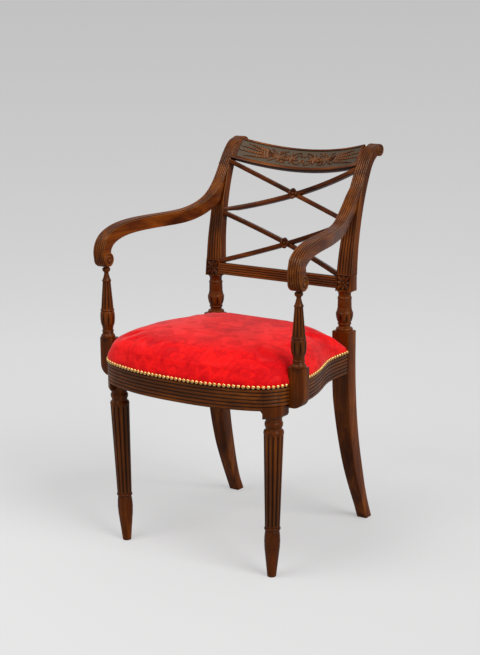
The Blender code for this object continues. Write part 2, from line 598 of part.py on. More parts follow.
def make_arm():
    """The reeded arm, swept from a scarf on the front of the stile to a scroll over its support."""
    stile_to_scroll = ARM_OUT_X - STILE_OUT_X
    edge = spline([(STILE_OUT_X + out * stile_to_scroll, y, z) for out, y, z in ARM_EDGE], 24)
    along = directions(edge)
    share = np.linspace(0, 1, len(edge))
    widths = (ARM_WIDE_STILE, ARM_WIDE_MIDDLE + 0.0015, ARM_WIDE_MIDDLE, ARM_WIDE_SCROLL, ARM_WIDE_SCROLL)
    wide = np.interp(share, (0, 0.2, 0.5, 0.85, 1), widths)
    rings = []
    for point, heading, width in zip(edge, along, wide):
        side = np.array((heading[1], -heading[0], 0.0))
        side /= np.linalg.norm(side)
        if side[0] < 0:
            side = -side
        if abs(heading[2]) > 0.85:
            side = np.array((1.0, 0.0, 0.0))
        up = np.cross(heading, side)
        up /= np.linalg.norm(up)
        deep = arm_depth(point, up)
        across, drop = reeds(ARM_REEDS, width - 0.0016, ARM_REED_DEPTH)
        ring = [point - side * (0.0008 + a) + up * d for a, d in zip(across, drop)]
        shoulder = ARM_REED_DEPTH + 0.0008
        ring += [point - side * width - up * shoulder, point - side * width - up * deep,
                 point - up * deep, point - up * shoulder]
        rings.append(ring)
    arm = loft("arm_right", rings)
    eye = (ARM_OUT_X - ARM_WIDE_SCROLL / 2, ARM_SCROLL_Y, ARM_SCROLL_Z)
    scroll = disc("arm_scroll", eye, ARM_SCROLL_R, ARM_WIDE_SCROLL - 0.0004, sides=28)
    boss = disc("arm_boss", eye, ARM_BOSS_R, ARM_WIDE_SCROLL + 2 * ARM_BOSS_HIGH, sides=16)
    join(arm, scroll, boss)
    hole_high, bead_high = PIN_LONG + 0.0030, 3 * SUPPORT_BEAD_R
    middle = (SUPPORT_X, SUPPORT_Y, SUPPORT_TOP - 0.0025 + hole_high / 2)
    pin_hole = disc("pin_hole", middle, PIN_R + GAP, hole_high, axis="Z", sides=12)
    middle = (SUPPORT_X, SUPPORT_Y, SUPPORT_TOP + GAP - bead_high / 2)
    bead_seat = disc("bead_seat", middle, SUPPORT_BEAD_R + GAP, bead_high, axis="Z")
    return cut(arm, pin_hole, bead_seat)


def arm_depth(point, up):
    """The arm's depth under a point of its face, which stops at the stile's front where they meet."""
    depths = np.linspace(0.0, ARM_DEEP, 120)
    spots = point[None, 1:] - depths[:, None] * up[None, 1:]
    limit = np.interp(spots[:, 1], STILE_FACETS[:, 1], STILE_FACETS[:, 0]) - CURVE_SLACK - GAP
    beyond = (spots[:, 0] > limit) & (spots[:, 1] > ARM_APEX_Z - 0.03)
    deep = depths[np.argmax(beyond)] if beyond.any() else ARM_DEEP
    if point[2] < ARM_SCROLL_Z + 0.012 and point[1] < ARM_SCROLL_Y:
        centre = np.array((ARM_SCROLL_Y, ARM_SCROLL_Z))
        deep = 0.7 * float(np.linalg.norm(point[1:] - centre))
    return deep


def block_outline(grow=0.0):
    """The support block seen from the front: flat inside, rounded under at its outer foot."""
    right, left = BLOCK_OUT_X + grow, BLOCK_IN_X - grow
    low, high = BLOCK_BOTTOM - grow, BLOCK_TOP + grow
    corners = [(left, high), (left, low)]
    for i in range(8):
        turn = math.radians(90 * i / 7)
        corners.append((right - BLOCK_ROUND * (1 - math.sin(turn)), low + BLOCK_ROUND * (1 - math.cos(turn))))
    return corners + [(right, high)]


def make_arm_support():
    """Square block, turned belly, reeded taper and bead, with a pin for the arm, in one piece of wood."""
    front, back = BLOCK_Y - BLOCK_DEEP / 2, BLOCK_Y + BLOCK_DEEP / 2
    support = loft("arm_support_right", [[(x, y, z) for x, z in block_outline()] for y in (front, back)])
    base, neck, belly = BLOCK_TOP, SUPPORT_NECK_R, SUPPORT_BELLY_Z
    reed, head, top = SUPPORT_REED_Z, SUPPORT_TAPER_Z, SUPPORT_TOP
    profile = [(base - 0.001, SUPPORT_BASE_R - 0.0008), (base + 0.002, SUPPORT_BASE_R)]
    profile += [(base + 0.005, SUPPORT_BASE_R - 0.0012), (base + 0.010, neck + 0.0012)]
    profile += [(base + 0.0125, neck + 0.0004), (base + 0.0145, neck + 0.0016), (base + 0.017, neck)]
    profile += [(belly - 0.015, SUPPORT_BELLY_R - 0.0022), (belly, SUPPORT_BELLY_R)]
    profile += [(reed - 0.006, SUPPORT_BELLY_R - 0.0014)]
    profile += [(reed - 0.004, SUPPORT_BELLY_R - 0.0022), (reed - 0.0025, SUPPORT_BELLY_R - 0.0008)]
    profile += [(reed - 0.0005, SUPPORT_BELLY_R - 0.0010), (reed + 0.001, SUPPORT_REED_R - 0.003)]
    turned_belly = turned("belly", profile, SUPPORT_X, SUPPORT_Y)
    taper = reeded_taper("support_taper", (SUPPORT_X, SUPPORT_Y), (reed, SUPPORT_REED_R),
                         (head, SUPPORT_TAPER_R), SUPPORT_REEDS, SUPPORT_REED_DEPTH)
    profile = [(head - 0.001, SUPPORT_TAPER_R - 0.003), (head, SUPPORT_TAPER_R + 0.0002)]
    profile += [(head + 0.002, SUPPORT_TAPER_R + 0.0010), (head + 0.0045, SUPPORT_TAPER_R + 0.0002)]
    profile += [(top - 0.0125, SUPPORT_PINCH_R), (top - 0.0105, SUPPORT_PINCH_R + 0.0006)]
    profile += [(top - 0.0065, SUPPORT_BEAD_R), (top - 0.002, SUPPORT_BEAD_R - 0.0004)]
    profile += [(top, SUPPORT_BEAD_R - 0.0022), (top + 0.0001, PIN_R), (top + PIN_LONG, PIN_R)]
    turned_head = turned("support_head", profile, SUPPORT_X, SUPPORT_Y)
    return join(support, turned_belly, taper, turned_head)


def block_housing(name):
    """The room that the support block takes in the rail, the leg and the stuffed seat."""
    front, back = BLOCK_Y - BLOCK_DEEP / 2 - GAP, BLOCK_Y + BLOCK_DEEP / 2 + GAP
    return loft(name, [[(x, y, z) for x, z in block_outline(GAP)] for y in (front, back)])


def make_seat_rails(leg, post, support):
    """Front rail lapped on the legs, side rails tenoned into leg and post, and the rear rail."""
    line, outward = plan_piece(FRONT_STATIONS)
    flip = np.array((-1.0, 1.0))
    line = np.concatenate([line[:0:-1] * flip, line])
    outward = np.concatenate([outward[:0:-1] * flip, outward])
    end_gap = np.array((GAP, 0.0))
    line[0] += end_gap
    line[-1] -= end_gap
    front = band("front_rail", line, outward, rail_section())
    for side in (-1, 1):
        room = box("leg_room", (side * (LEG_X + LEG_SQUARE / 2), LEG_Y + LEG_SQUARE / 2, RAIL_TOP),
                   (2 * LEG_SQUARE + 2 * GAP, 2 * LEG_SQUARE + 2 * GAP, RAIL_TOP))
        cut(front, room)

    line, outward = plan_piece(SIDE_STATIONS)
    line[0, 1] = CORNER_REAR_Y + GAP
    line[-1, 1] = POST_FRONT - GAP
    outward[0] = outward[-1] = (1.0, 0.0)
    side_rail = band("side_rail_right", line, outward, rail_section())
    tenon_high = RAIL_TOP - RAIL_BOTTOM - 2 * TENON_SHOULDER
    tenon_z = (RAIL_TOP + RAIL_BOTTOM) / 2
    reach = TENON_LONG + 0.002
    tenon(side_rail, leg, (line[0, 0] - RAIL_THICK / 2 - 0.003, CORNER_REAR_Y - reach / 2 + 0.002, tenon_z),
          (TENON_THICK, reach, tenon_high))
    tenon(side_rail, post, (line[-1, 0] - RAIL_THICK / 2, POST_FRONT + reach / 2 - 0.002, tenon_z),
          (TENON_THICK, reach, tenon_high))
    cut(side_rail, block_housing("rail_housing"))
    cut(leg, block_housing("leg_housing"))

    inner = POST_OUT_X - POST_SEAT_WIDE - GAP
    centre_y = REAR_RAIL_OUT - REAR_RAIL_THICK / 2
    section = [(REAR_RAIL_OUT, RAIL_BOTTOM), (REAR_RAIL_OUT, REEDS_TOP), (REAR_RAIL_OUT - REBATE, REEDS_TOP),
               (REAR_RAIL_OUT - REBATE, RAIL_TOP), (REAR_RAIL_OUT - REAR_RAIL_THICK, RAIL_TOP),
               (REAR_RAIL_OUT - REAR_RAIL_THICK, RAIL_BOTTOM)]
    rear = loft("rear_rail", [[(x, y, z) for y, z in section] for x in (-inner, inner)])
    offset = centre_y + REAR_RAIL_THICK / 2 - TENON_THICK / 2 - REBATE - 0.0010
    size = (reach, TENON_THICK, tenon_high)
    join(rear, box("rear_tenon_left", (-inner - reach / 2 + 0.002, offset, tenon_z), size))
    tenon(rear, post, (inner + reach / 2 - 0.002, offset, tenon_z), size)
    return front, side_rail, rear


def make_stay_rail(post):
    """The reeded rail between the carved squares, with a tenon at each end."""
    foot, head = np.array(STILE_FRONT[0]), np.array(STILE_FRONT[1])
    rise = (head - foot) / np.linalg.norm(head - foot)
    inward = np.array((rise[1], -rise[0]))
    start = foot + rise * STAY_UP + inward * 0.0006
    across, drop = reeds(STAY_REEDS, STAY_HIGH, STAY_REED_DEPTH)
    section = [start + rise * a - inward * d for a, d in zip(across, drop)]
    section += [start + rise * STAY_HIGH + inward * STAY_DEEP, start + inward * STAY_DEEP]
    end = STILE_OUT_X - STILE_FOOT_WIDE - GAP
    stay = loft("stay_rail", [[(x, *point) for point in section] for x in (-end, end)])
    middle = start + rise * STAY_HIGH / 2 + inward * (STAY_DEEP / 2 + STAY_REED_DEPTH / 2)
    tilt = -math.atan2(rise[0], rise[1])
    reach = TENON_LONG + 0.002
    size = (reach, TENON_THICK, STAY_HIGH - TENON_SHOULDER)
    join(stay, box("stay_tenon_left", (-end - reach / 2 + 0.002, *middle), size, tilt))
    tenon(stay, post, (end + reach / 2 - 0.002, *middle), size, tilt)
    return stay


def make_crest_rail(post):
    """The tablet between the stiles, leaning and bowed backwards, with a bead along its foot."""
    low = np.array((CREST_LOW_Y, CREST_LOW_Z))
    tall = math.hypot(CREST_LEAN, CREST_RISE)
    rise = np.array((CREST_LEAN, CREST_RISE)) / tall
    back = np.array((rise[1], -rise[0]))
    outline = [(0.0, 0.0), (0.25 * CREST_BEAD, -0.0012), (0.5 * CREST_BEAD, -0.0016)]
    outline += [(0.75 * CREST_BEAD, -0.0012), (CREST_BEAD, 0.0), (CREST_BEAD + 0.0012, CREST_SUNK)]
    outline += [(tall - 0.0040, CREST_SUNK), (tall - 0.0030, 0.0), (tall, 0.0)]
    outline += [(tall + 0.0020, 0.0045), (tall + 0.0005, 0.0090)]
    outline += [(tall - 0.005, CREST_THICK + 0.001), (0.5 * tall, CREST_THICK), (0.0020, CREST_THICK - 0.002)]
    section = [low + rise * up + back * into for up, into in outline]
    end = STILE_OUT_X - STILE_TOP_WIDE - GAP
    rings = []
    for x in np.linspace(-end, end, 17):
        bow = BACK_BOW * (1 - (x / end) ** 2)
        rings.append([(x, *(point + back * bow)) for point in section])
    crest = loft("crest_rail", rings)
    middle = low + rise * tall / 2 + back * (CREST_THICK / 2 + 0.001)
    tilt = -math.atan2(rise[0], rise[1])
    reach = TENON_LONG + 0.004
    size = (reach, TENON_THICK, tall - 2 * TENON_SHOULDER)
    join(crest, box("crest_tenon_left", (-end - reach / 2 + 0.004, *middle), size, tilt))
    tenon(crest, post, (end + reach / 2 - 0.004, *middle), size, tilt)
    return crest


def bar_line(top, foot, back, down, count=17):
    """The middle of a bar's front face, falling from the left stile to the right one and bowed backwards."""
    left, right = stile_inner(top[1]) - GAP, stile_inner(foot[1]) - GAP
    share = np.linspace(-1, 1, count)
    x = -left + (share + 1) / 2 * (left + right)
    y = top[0] + (share + 1) / 2 * (foot[0] - top[0]) + back * (1 - share ** 2)
    z = top[1] + (share + 1) / 2 * (foot[1] - top[1]) - down * (1 - share ** 2)
    return np.column_stack([x, y, z])


def make_bar(name, top, foot, back, down, floor, ceiling):
    """A flat bar carried along its bowed line, cut to the stiles, and to the bar that it meets there."""
    line = bar_line(top, foot, back, down)
    into, _ = bar_frame(top, foot)
    rings = []
    for point, heading in zip(line, directions(line)):
        up = np.cross(into, heading)
        up *= np.sign(up[2]) * BAR_HIGH / 2 / np.linalg.norm(up)
        ring = np.array([point - up, point - up + into * BAR_DEEP, point + up + into * BAR_DEEP, point + up])
        ring[:, 2] = np.clip(ring[:, 2], floor, ceiling)
        rings.append(ring)
    for side, ring in ((-1, rings[0]), (1, rings[-1])):
        ring[:, 0] = [side * (stile_inner(z) - GAP) for z in ring[:, 2]]
    return loft(name, rings)


def bar_frame(top, foot):
    """The way into the back, square to a pair of bars, and its lean from the vertical."""
    lean = math.atan2(top[0] - foot[0], top[1] - foot[1])
    return np.array((0.0, math.cos(lean), -math.sin(lean))), lean


def halve(piece, line, keep_front, lean):
    """Cuts half the depth out of a bar where the other bar of its pair crosses it."""
    middle = line[len(line) // 2]
    heading = directions(line)[len(line) // 2]
    slope = math.atan2(-heading[2], heading[0])
    deep = BAR_DEEP / 2 + GAP / 2
    shift = (BAR_DEEP - deep / 2 + 0.002) if keep_front else (deep / 2 - 0.002)
    into = Vector((0.0, math.cos(lean), -math.sin(lean)))
    centre = Vector(middle) + into * shift
    tool = box("halving", centre, (BAR_HIGH * 7, deep + 0.004, BAR_HIGH + 2 * GAP), tilt=-lean, roll=slope)
    return cut(piece, tool)


def make_bars(post):
    """Two crossed pairs of bars, each halved together and tenoned into the stiles, with carved rosettes."""
    pairs = (("upper", (UPPER_BAR_TOP_Y, UPPER_BAR_TOP_Z), (UPPER_BAR_LOW_Y, UPPER_BAR_LOW_Z), UPPER_BAR_BACK,
              UPPER_BAR_DOWN, BARS_MEET_Z + GAP, CREST_LOW_Z),
             ("lower", (LOWER_BAR_TOP_Y, LOWER_BAR_TOP_Z), (LOWER_BAR_LOW_Y, LOWER_BAR_LOW_Z), LOWER_BAR_BACK,
              LOWER_BAR_DOWN, TURN_TOP + STAY_UP + STAY_HIGH + 0.0005, BARS_MEET_Z - GAP))
    for level, top, foot, back, down, floor, ceiling in pairs:
        falling = make_bar(level + "_bar_falling", top, foot, back, down, floor, ceiling)
        into, lean = bar_frame(top, foot)
        size = (BAR_TENON_LONG + 0.004, TENON_THICK, BAR_TENON_HIGH)
        for side, (y, z) in ((-1, top), (1, foot)):
            middle = np.array((y, z)) + into[1:] * BAR_DEEP / 2
            edges = np.clip((middle[1] - BAR_HIGH / 2, middle[1] + BAR_HIGH / 2), floor, ceiling)
            centre = np.array((stile_inner(z) + BAR_TENON_LONG / 2 - 0.002, middle[0], edges.mean()))
            join(falling, box("bar_tenon", centre * (side, 1, 1), size))
            cut(post, box("bar_mortise", centre, [length + 2 * GAP for length in size]))
        rising = mirrored(falling, level + "_bar_rising")
        line = bar_line(top, foot, back, down)
        halve(falling, line[::-1] * (-1, 1, 1), True, lean)
        halve(rising, line, False, lean)
        make_rosette(level + "_rosette", line[len(line) // 2], lean)


def make_rosette(name, spot, lean):
    """A small four-lobed boss, planted on the front of a crossing."""
    into = np.array((0.0, math.cos(lean), -math.sin(lean)))
    up = np.array((0.0, math.sin(lean), math.cos(lean)))
    side = np.array((1.0, 0.0, 0.0))
    rings = []
    for height, reach in ((0.0, 1.0), (0.45, 1.0), (0.75, 0.72), (0.70, 0.40), (1.0, 0.22)):
        around = np.linspace(0, 2 * math.pi, 24, endpoint=False)
        lobe = ROSETTE_R * reach * (1 + 0.10 * np.cos(4 * around))
        flat = spot - into * (CURVE_SLACK + height * ROSETTE_THICK)
        rings.append(flat + np.outer(lobe * np.cos(around), side) + np.outer(lobe * np.sin(around), up))
    return loft(name, rings)


def make_corner_blocks():
    """Glue blocks across the corners of the seat frame."""
    high = RAIL_TOP - 0.004
    low = high - CORNER_BLOCK_HIGH
    near_x, near_y = LEG_X - LEG_SQUARE / 2 - GAP, CORNER_REAR_Y + GAP
    inset = RAIL_THICK + CURVE_SLACK
    front_line = inset_line(inset, x=(near_x - CORNER_BLOCK_LEG, near_x), y=(-1.0, near_y))
    side_line = inset_line(inset, x=(near_x, 1.0), y=(near_y, near_y + CORNER_BLOCK_LEG))
    corners = [*front_line, (near_x, near_y), *side_line]
    front_block = outline_prism("front_corner_block_right", corners, low, high, "beech")
    post_x, post_y = POST_OUT_X - POST_SEAT_WIDE - GAP, POST_FRONT - GAP
    rail_y = REAR_RAIL_OUT - REAR_RAIL_THICK - GAP
    side_line = inset_line(inset, y=(post_y - CORNER_BLOCK_LEG, post_y))
    corners = [*side_line, (post_x, post_y), (post_x, rail_y), (post_x - CORNER_BLOCK_LEG, rail_y)]
    mirrored(outline_prism("rear_corner_block_right", corners, low, high, "beech"), "rear_corner_block_left")
    return front_block


def make_webbing():
    """Three straps each way, woven over and under each other and tacked on the rails."""
    step = (WEB_THICK + 2 * GAP) / 2
    base = RAIL_TOP + GAP + WEB_THICK / 2
    for i in (-1, 0, 1):
        x = i * WEB_SPACING
        ends = (PLAN[plan_index(x=abs(x) + WEB_WIDE / 2), 1] + WEB_FROM_EDGE, REAR_RAIL_OUT - WEB_FROM_EDGE)
        path = weave(ends, WEB_MIDDLE_Y, 1 if i % 2 == 0 else -1, base, step)
        strap = [(-WEB_WIDE / 2, -WEB_THICK / 2), (WEB_WIDE / 2, -WEB_THICK / 2)]
        strap += [(WEB_WIDE / 2, WEB_THICK / 2), (-WEB_WIDE / 2, WEB_THICK / 2)]
        rings = [[(x + across, y, z + up) for across, up in strap] for y, z in path]
        loft("webbing_lengthwise_%d" % (i + 2), rings, "jute")
        y = WEB_MIDDLE_Y + i * WEB_SPACING
        reach = min(PLAN[plan_index(y=y + side * WEB_WIDE / 2), 0] for side in (-1, 1)) - WEB_FROM_EDGE
        path = weave((-reach, reach), 0.0, -1 if i % 2 == 0 else 1, base, step)
        rings = [[(x, y + across, z + up) for across, up in strap] for x, z in path]
        loft("webbing_crosswise_%d" % (i + 2), rings, "jute")


def weave(ends, middle, sign, base, step):
    """A strap's path: down on the rails at its ends, and over and under at the three crossings."""
    at = [ends[0]]
    for i in (-1, 0, 1):
        centre = middle + i * WEB_SPACING
        at += [centre - WEB_WIDE / 2 - 0.006, centre - WEB_WIDE / 2 - 0.001,
               centre + WEB_WIDE / 2 + 0.001, centre + WEB_WIDE / 2 + 0.006]
    at.append(ends[1])
    path = []
    for k, place in enumerate(at):
        crossing = (k - 1) // 4 - 1
        inside = 0 < k < len(at) - 1 and (k - 1) % 4 in (1, 2)
        over = sign * (1 if crossing % 2 == 0 else -1)
        lift = step + over * step if inside else step
        path.append((place, base + (lift if 0 < k < len(at) - 1 else 0.0)))
    return path


def make_seat():
    """The stuffed seat in its cover: straight sides over the rails, a soft roll, and a low crown."""
    stations = [*FRONT_STATIONS, *CORNER_STATIONS[1:], *SIDE_STATIONS[1:], plan_index(y=REAR_RAIL_OUT)]
    right, _ = plan_piece(stations)
    back = np.column_stack([np.linspace(right[-1, 0] - 0.012, 0.0, 8), np.full(8, REAR_RAIL_OUT)])
    half = np.concatenate([right, back])
    outline = np.concatenate([half, half[-2:0:-1] * (-1, 1)])
    ahead, behind = np.roll(outline, -1, axis=0), np.roll(outline, 1, axis=0)
    along = (ahead - behind) / np.linalg.norm(ahead - behind, axis=1)[:, None]
    outward = np.column_stack([along[:, 1], -along[:, 0]])
    under = RAIL_TOP + 2 * (WEB_THICK + 2 * GAP)
    skirt = REEDS_TOP + GAP
    inner = -REBATE + GAP
    outer = inner + SEAT_COVER
    side_top = REEDS_TOP + SEAT_SIDE
    rings = [(inner, 1.0, under), (inner, 1.0, skirt), (outer, 1.0, skirt)]
    rings += [(outer + SEAT_BULGE, 1.0, skirt + 0.3 * SEAT_SIDE)]
    rings += [(outer + SEAT_BULGE / 2, 1.0, skirt + 0.7 * SEAT_SIDE), (outer - 0.0020, 1.0, side_top)]
    middle = np.array((0.0, SEAT_MIDDLE_Y))
    roll_top = REEDS_TOP + SEAT_ROLL_SHARE * SEAT_CROWN
    roll = SEAT_ROLL / WIDE_X
    for turn in (30, 60, 90):
        angle = math.radians(turn)
        rings.append((outer - 0.0020, 1.0 - roll * (1 - math.cos(angle)),
                      side_top + (roll_top - side_top) * math.sin(angle)))
    crown = REEDS_TOP + SEAT_CROWN - roll_top
    for scale in (0.72, 0.5, 0.28, 0.06):
        rings.append((outer - 0.0020, scale * (1 - roll), roll_top + crown * (1 - scale ** 2.2)))
    shapes = []
    for offset, scale, z in rings:
        ring = middle + scale * (outline + outward * offset - middle)
        shapes.append(np.column_stack([ring, np.full(len(ring), z)]))
    seat = loft("stuffed_seat", shapes, "red_damask")
    room = 0.0005
    tools = []
    for side in (-1, 1):
        wide, deep, high = 2 * POST_SEAT_WIDE, 2 * POST_DEEP, 2 * RAIL_TOP
        post_in = POST_OUT_X - POST_SEAT_WIDE - room
        middle = (side * (post_in + wide / 2), POST_FRONT - room + deep / 2, RAIL_TOP)
        tools.append(box("post_room", middle, (wide, deep, high)))
        middle = (side * (BLOCK_IN_X - room + BLOCK_WIDE / 2), BLOCK_Y, RAIL_TOP)
        tools.append(box("block_room", middle, (BLOCK_WIDE, BLOCK_DEEP + 2 * room, high)))
    return cut(seat, *tools)


def make_screws(block, drilled):
    """Screws driven from inside the seat frame into the support blocks, with room in the corner blocks."""
    y = BLOCK_Y + SCREW_OFFSET
    head_x = PLAN[plan_index(y=y), 0] - RAIL_THICK + SCREW_SINK
    for i, z in enumerate((RAIL_BOTTOM + SCREW_FROM_EDGE, RAIL_TOP - SCREW_FROM_EDGE)):
        rings = []
        for x, radius in ((head_x - SCREW_HEAD_HIGH, SCREW_HEAD_R), (head_x, SCREW_HEAD_R),
                          (head_x + 0.0001, SCREW_R), (head_x + SCREW_LONG, SCREW_R)):
            around = np.linspace(0, 2 * math.pi, 12, endpoint=False)
            circle = y + radius * np.cos(around), z + radius * np.sin(around)
            rings.append(np.column_stack([np.full(12, x), *circle]))
        screw = loft("support_screw_right_%d" % (i + 1), rings, "iron")
        mirrored(screw, "support_screw_left_%d" % (i + 1))
        for piece in drilled:
            middle = (head_x + SCREW_LONG / 2, y, z)
            cut(piece, disc("pilot_hole", middle, SCREW_R + GAP, SCREW_LONG + 0.002, sides=12))
        for piece in (block, drilled[1]):
            middle = (head_x - CORNER_BLOCK_LEG / 2 + GAP, y, z)
            cut(piece, disc("driver_hole", middle, SCREW_HEAD_R + GAP, CORNER_BLOCK_LEG, sides=12))


def make_chair():
    """Builds every piece, and sets the chair over the middle of its footprint."""
    clear_scene()
    leg = make_front_leg()
    post = make_rear_post()
    support = make_arm_support()
    arm = make_arm()
    front, side_rail, rear = make_seat_rails(leg, post, support)
    make_stay_rail(post)
    make_crest_rail(post)
    make_bars(post)
    block = make_corner_blocks()
    make_webbing()
    make_screws(block, (support, side_rail, leg))
    for piece in (leg, post, support, arm, side_rail, block):
        mirrored(piece, piece.name.replace("right", "left"))
    make_seat()
    centre = bpy.data.objects.new("chair_origin", None)
    bpy.data.collections[CHAIR].objects.link(centre)
    front, back = SEAT_FRONT - (GAP - REBATE + SEAT_COVER + SEAT_BULGE), SCROLL_Y + SCROLL_R
    centre.location = (0.0, -(front + back) / 2, 0.0)
    for piece in bpy.data.collections[CHAIR].objects:
        if piece is not centre:
            piece.parent = centre


make_chair()
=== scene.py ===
"""The looks of a carved mahogany armchair with crossed bars and a seat in red silk damask.

Metres, Z up, and the chair faces -Y. The sections follow the chair as it is put together. Each pair of
pieces is drawn at positive X, on the right of a person who looks at its front, and copied to the left.
"""

import json
import math

import bmesh
import bpy
import numpy as np
from mathutils import Matrix, Vector

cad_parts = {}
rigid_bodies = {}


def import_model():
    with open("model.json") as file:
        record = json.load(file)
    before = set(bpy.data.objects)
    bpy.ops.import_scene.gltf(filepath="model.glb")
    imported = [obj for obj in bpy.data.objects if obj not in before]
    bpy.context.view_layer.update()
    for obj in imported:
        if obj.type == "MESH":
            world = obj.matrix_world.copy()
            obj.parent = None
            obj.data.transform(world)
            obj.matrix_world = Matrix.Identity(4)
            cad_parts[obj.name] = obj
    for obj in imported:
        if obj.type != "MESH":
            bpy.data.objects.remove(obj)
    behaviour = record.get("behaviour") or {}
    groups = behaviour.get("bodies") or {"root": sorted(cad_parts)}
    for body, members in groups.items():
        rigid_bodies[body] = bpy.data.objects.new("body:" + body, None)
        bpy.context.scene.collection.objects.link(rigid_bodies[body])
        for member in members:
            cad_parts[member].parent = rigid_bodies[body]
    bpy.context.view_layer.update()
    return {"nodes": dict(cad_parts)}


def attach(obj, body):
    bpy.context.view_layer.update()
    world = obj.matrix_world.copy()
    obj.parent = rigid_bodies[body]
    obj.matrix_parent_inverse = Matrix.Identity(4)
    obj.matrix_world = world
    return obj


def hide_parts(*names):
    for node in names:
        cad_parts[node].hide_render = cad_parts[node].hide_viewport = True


for item in list(bpy.data.objects):
    bpy.data.objects.remove(item)

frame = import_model()

# The room: a plain pale studio floor that runs back past the picture and darkens with its distance, a
# wide soft light from the right, a dim softbox overhead, and grey light from all round. The camera
# stands off the chair's right-hand front corner, above its crest rail.
CAMERA_AT = (1.699, -2.5089, 1.164)
CAMERA_TURN = (math.radians(90 - 13.08), math.radians(-0.44), math.radians(34.28))
FOCAL_PIXELS, LONG_SIDE_PIXELS = 1455.5, 655
# The floor's grey is its far grey and a glow over the distance. FLOOR_SEEN is its share without a shadow.
FLOOR_REACH = 120.0
FLOOR_FAR_GREY, FLOOR_GLOW, FLOOR_NEAREST, FLOOR_SEEN = 0.62, 0.74, 4.8, 0.44
ROOM_GREY, ROOM_LIGHT = 0.55, 0.70
SUN_FROM, SUN_STRENGTH, SUN_WIDE = (0.79, -0.17, 0.59), 1.95, 34.0
SOFTBOX_AT, SOFTBOX_AIM, SOFTBOX_SIZE, SOFTBOX_POWER = (-0.3, -1.0, 2.2), (0.0, 0.0, 0.4), 1.0, 18.0


class Shade:
    """An output of a material's nodes. Sums on it add Math nodes, and node() adds any other kind."""

    def __init__(self, tree, socket=None):
        self.tree, self.socket = tree, socket

    def node(self, kind, settings, values, output=0):
        """Adds a node, sets it up, sets or links its sockets, and gives one of its outputs.

        A colour is three numbers.
        """
        made = self.tree.nodes.new("ShaderNode" + kind)
        for name, value in settings.items():
            if name == "stops":
                ramp = made.color_ramp
                while len(ramp.elements) < len(value):
                    ramp.elements.new(1.0)
                for element, (place, colour) in zip(ramp.elements, value):
                    element.position, element.color = place, (*colour, 1.0)
            else:
                setattr(made, name, value)
        for name, value in values.items():
            socket = made.inputs[name]
            if isinstance(value, Shade):
                self.tree.links.new(value.socket, socket)
            else:
                socket.default_value = (*value, 1.0) if socket.type == "RGBA" else value
        return Shade(self.tree, made.outputs[output]) if len(made.outputs) else None

    def sum(self, operation, first, second=0.0):
        """A Math node on one or two numbers or outputs."""
        return self.node("Math", {"operation": operation}, {0: first, 1: second})

    def __add__(self, other):
        return self.sum("ADD", self, other)

    __radd__ = __add__

    def __mul__(self, other):
        return self.sum("MULTIPLY", self, other)

    __rmul__ = __mul__

    def __sub__(self, other):
        return self.sum("SUBTRACT", self, other)

    def __rsub__(self, other):
        return self.sum("SUBTRACT", other, self)

    def __truediv__(self, other):
        return self.sum("DIVIDE", self, other)

    def __rtruediv__(self, other):
        return self.sum("DIVIDE", other, self)

    def __pow__(self, other):
        return self.sum("POWER", self, other)

    def step(self, low, high):
        """0 below low and 1 above high, with a smooth rise between."""
        return self.node("MapRange", {"interpolation_type": "SMOOTHSTEP"}, {0: self, 1: low, 2: high})

    def blend(self, first, second):
        """The colour between two, at this output's share of the way."""
        return self.node("Mix", {"data_type": "RGBA"}, {0: self, 6: first, 7: second}, output=2)

    def place(self, size=(1.0, 1.0, 1.0), shift=(0.0, 0.0, 0.0)):
        """The point on the piece, in metres, stretched by a size along each way after a shift."""
        point = self.node("TexCoord", {}, {}, output=3)
        return self.node("Mapping", {}, {"Vector": point, "Location": shift, "Scale": size})

    def noise(self, place, scale, detail=4.0, roughness=0.55, distortion=0.0):
        """Fractal noise from 0 to 1, at a scale in waves per metre."""
        return self.node("TexNoise", {}, {"Vector": place, "Scale": scale, "Detail": detail,
                                          "Roughness": roughness, "Distortion": distortion})

    def attribute(self, name):
        """A number that each corner of the mesh holds."""
        return self.node("Attribute", {"attribute_name": name}, {}, output=2)

    def bumped(self, height, strength, distance):
        """A normal that stands for heights, at a distance in metres between 0 and 1."""
        return self.node("Bump", {}, {"Height": height, "Strength": strength, "Distance": distance})


def new_finish(name):
    """A material with nothing but its output, and the start of its nodes."""
    material = bpy.data.materials.new(name)
    material.use_nodes = True
    material.node_tree.nodes.clear()
    return material, Shade(material.node_tree)


def coat(material, start, values):
    """Ends a finish in a Principled shader with these sockets."""
    shader = start.node("BsdfPrincipled", {}, values)
    start.node("OutputMaterial", {}, {"Surface": shader})
    return material


def placed(name, data):
    """An object that holds this data, put into the scene."""
    made = bpy.data.objects.new(name, data)
    bpy.context.scene.collection.objects.link(made)
    return made


def make_floor():
    """A wide flat sheet, at the height of the feet. The camera sees a part of its grey without its shadow."""
    data = bpy.data.meshes.new("studio_floor")
    corners = [(x * FLOOR_REACH, y * FLOOR_REACH, 0.0) for x, y in ((-1, -1), (1, -1), (1, 1), (-1, 1))]
    data.from_pydata(corners, [], [(0, 1, 2, 3)])
    material, start = new_finish("floor_paper")
    below_camera = (CAMERA_AT[0], CAMERA_AT[1], 0.0)
    away = start.node("VectorMath", {"operation": "DISTANCE"}, {0: start.place(), 1: below_camera},
                      output="Value")
    grey = FLOOR_GLOW / start.sum("MAXIMUM", away, FLOOR_NEAREST) + FLOOR_FAR_GREY
    seen = start.node("LightPath", {}, {}, output="Is Camera Ray") * FLOOR_SEEN
    data.materials.append(coat(material, start, {"Base Color": grey * (1.0 - FLOOR_SEEN), "Roughness": 1.0,
                                                 "Specular IOR Level": 0.0, "Emission Color": grey * seen,
                                                 "Emission Strength": 1.0}))
    placed("studio_floor", data)


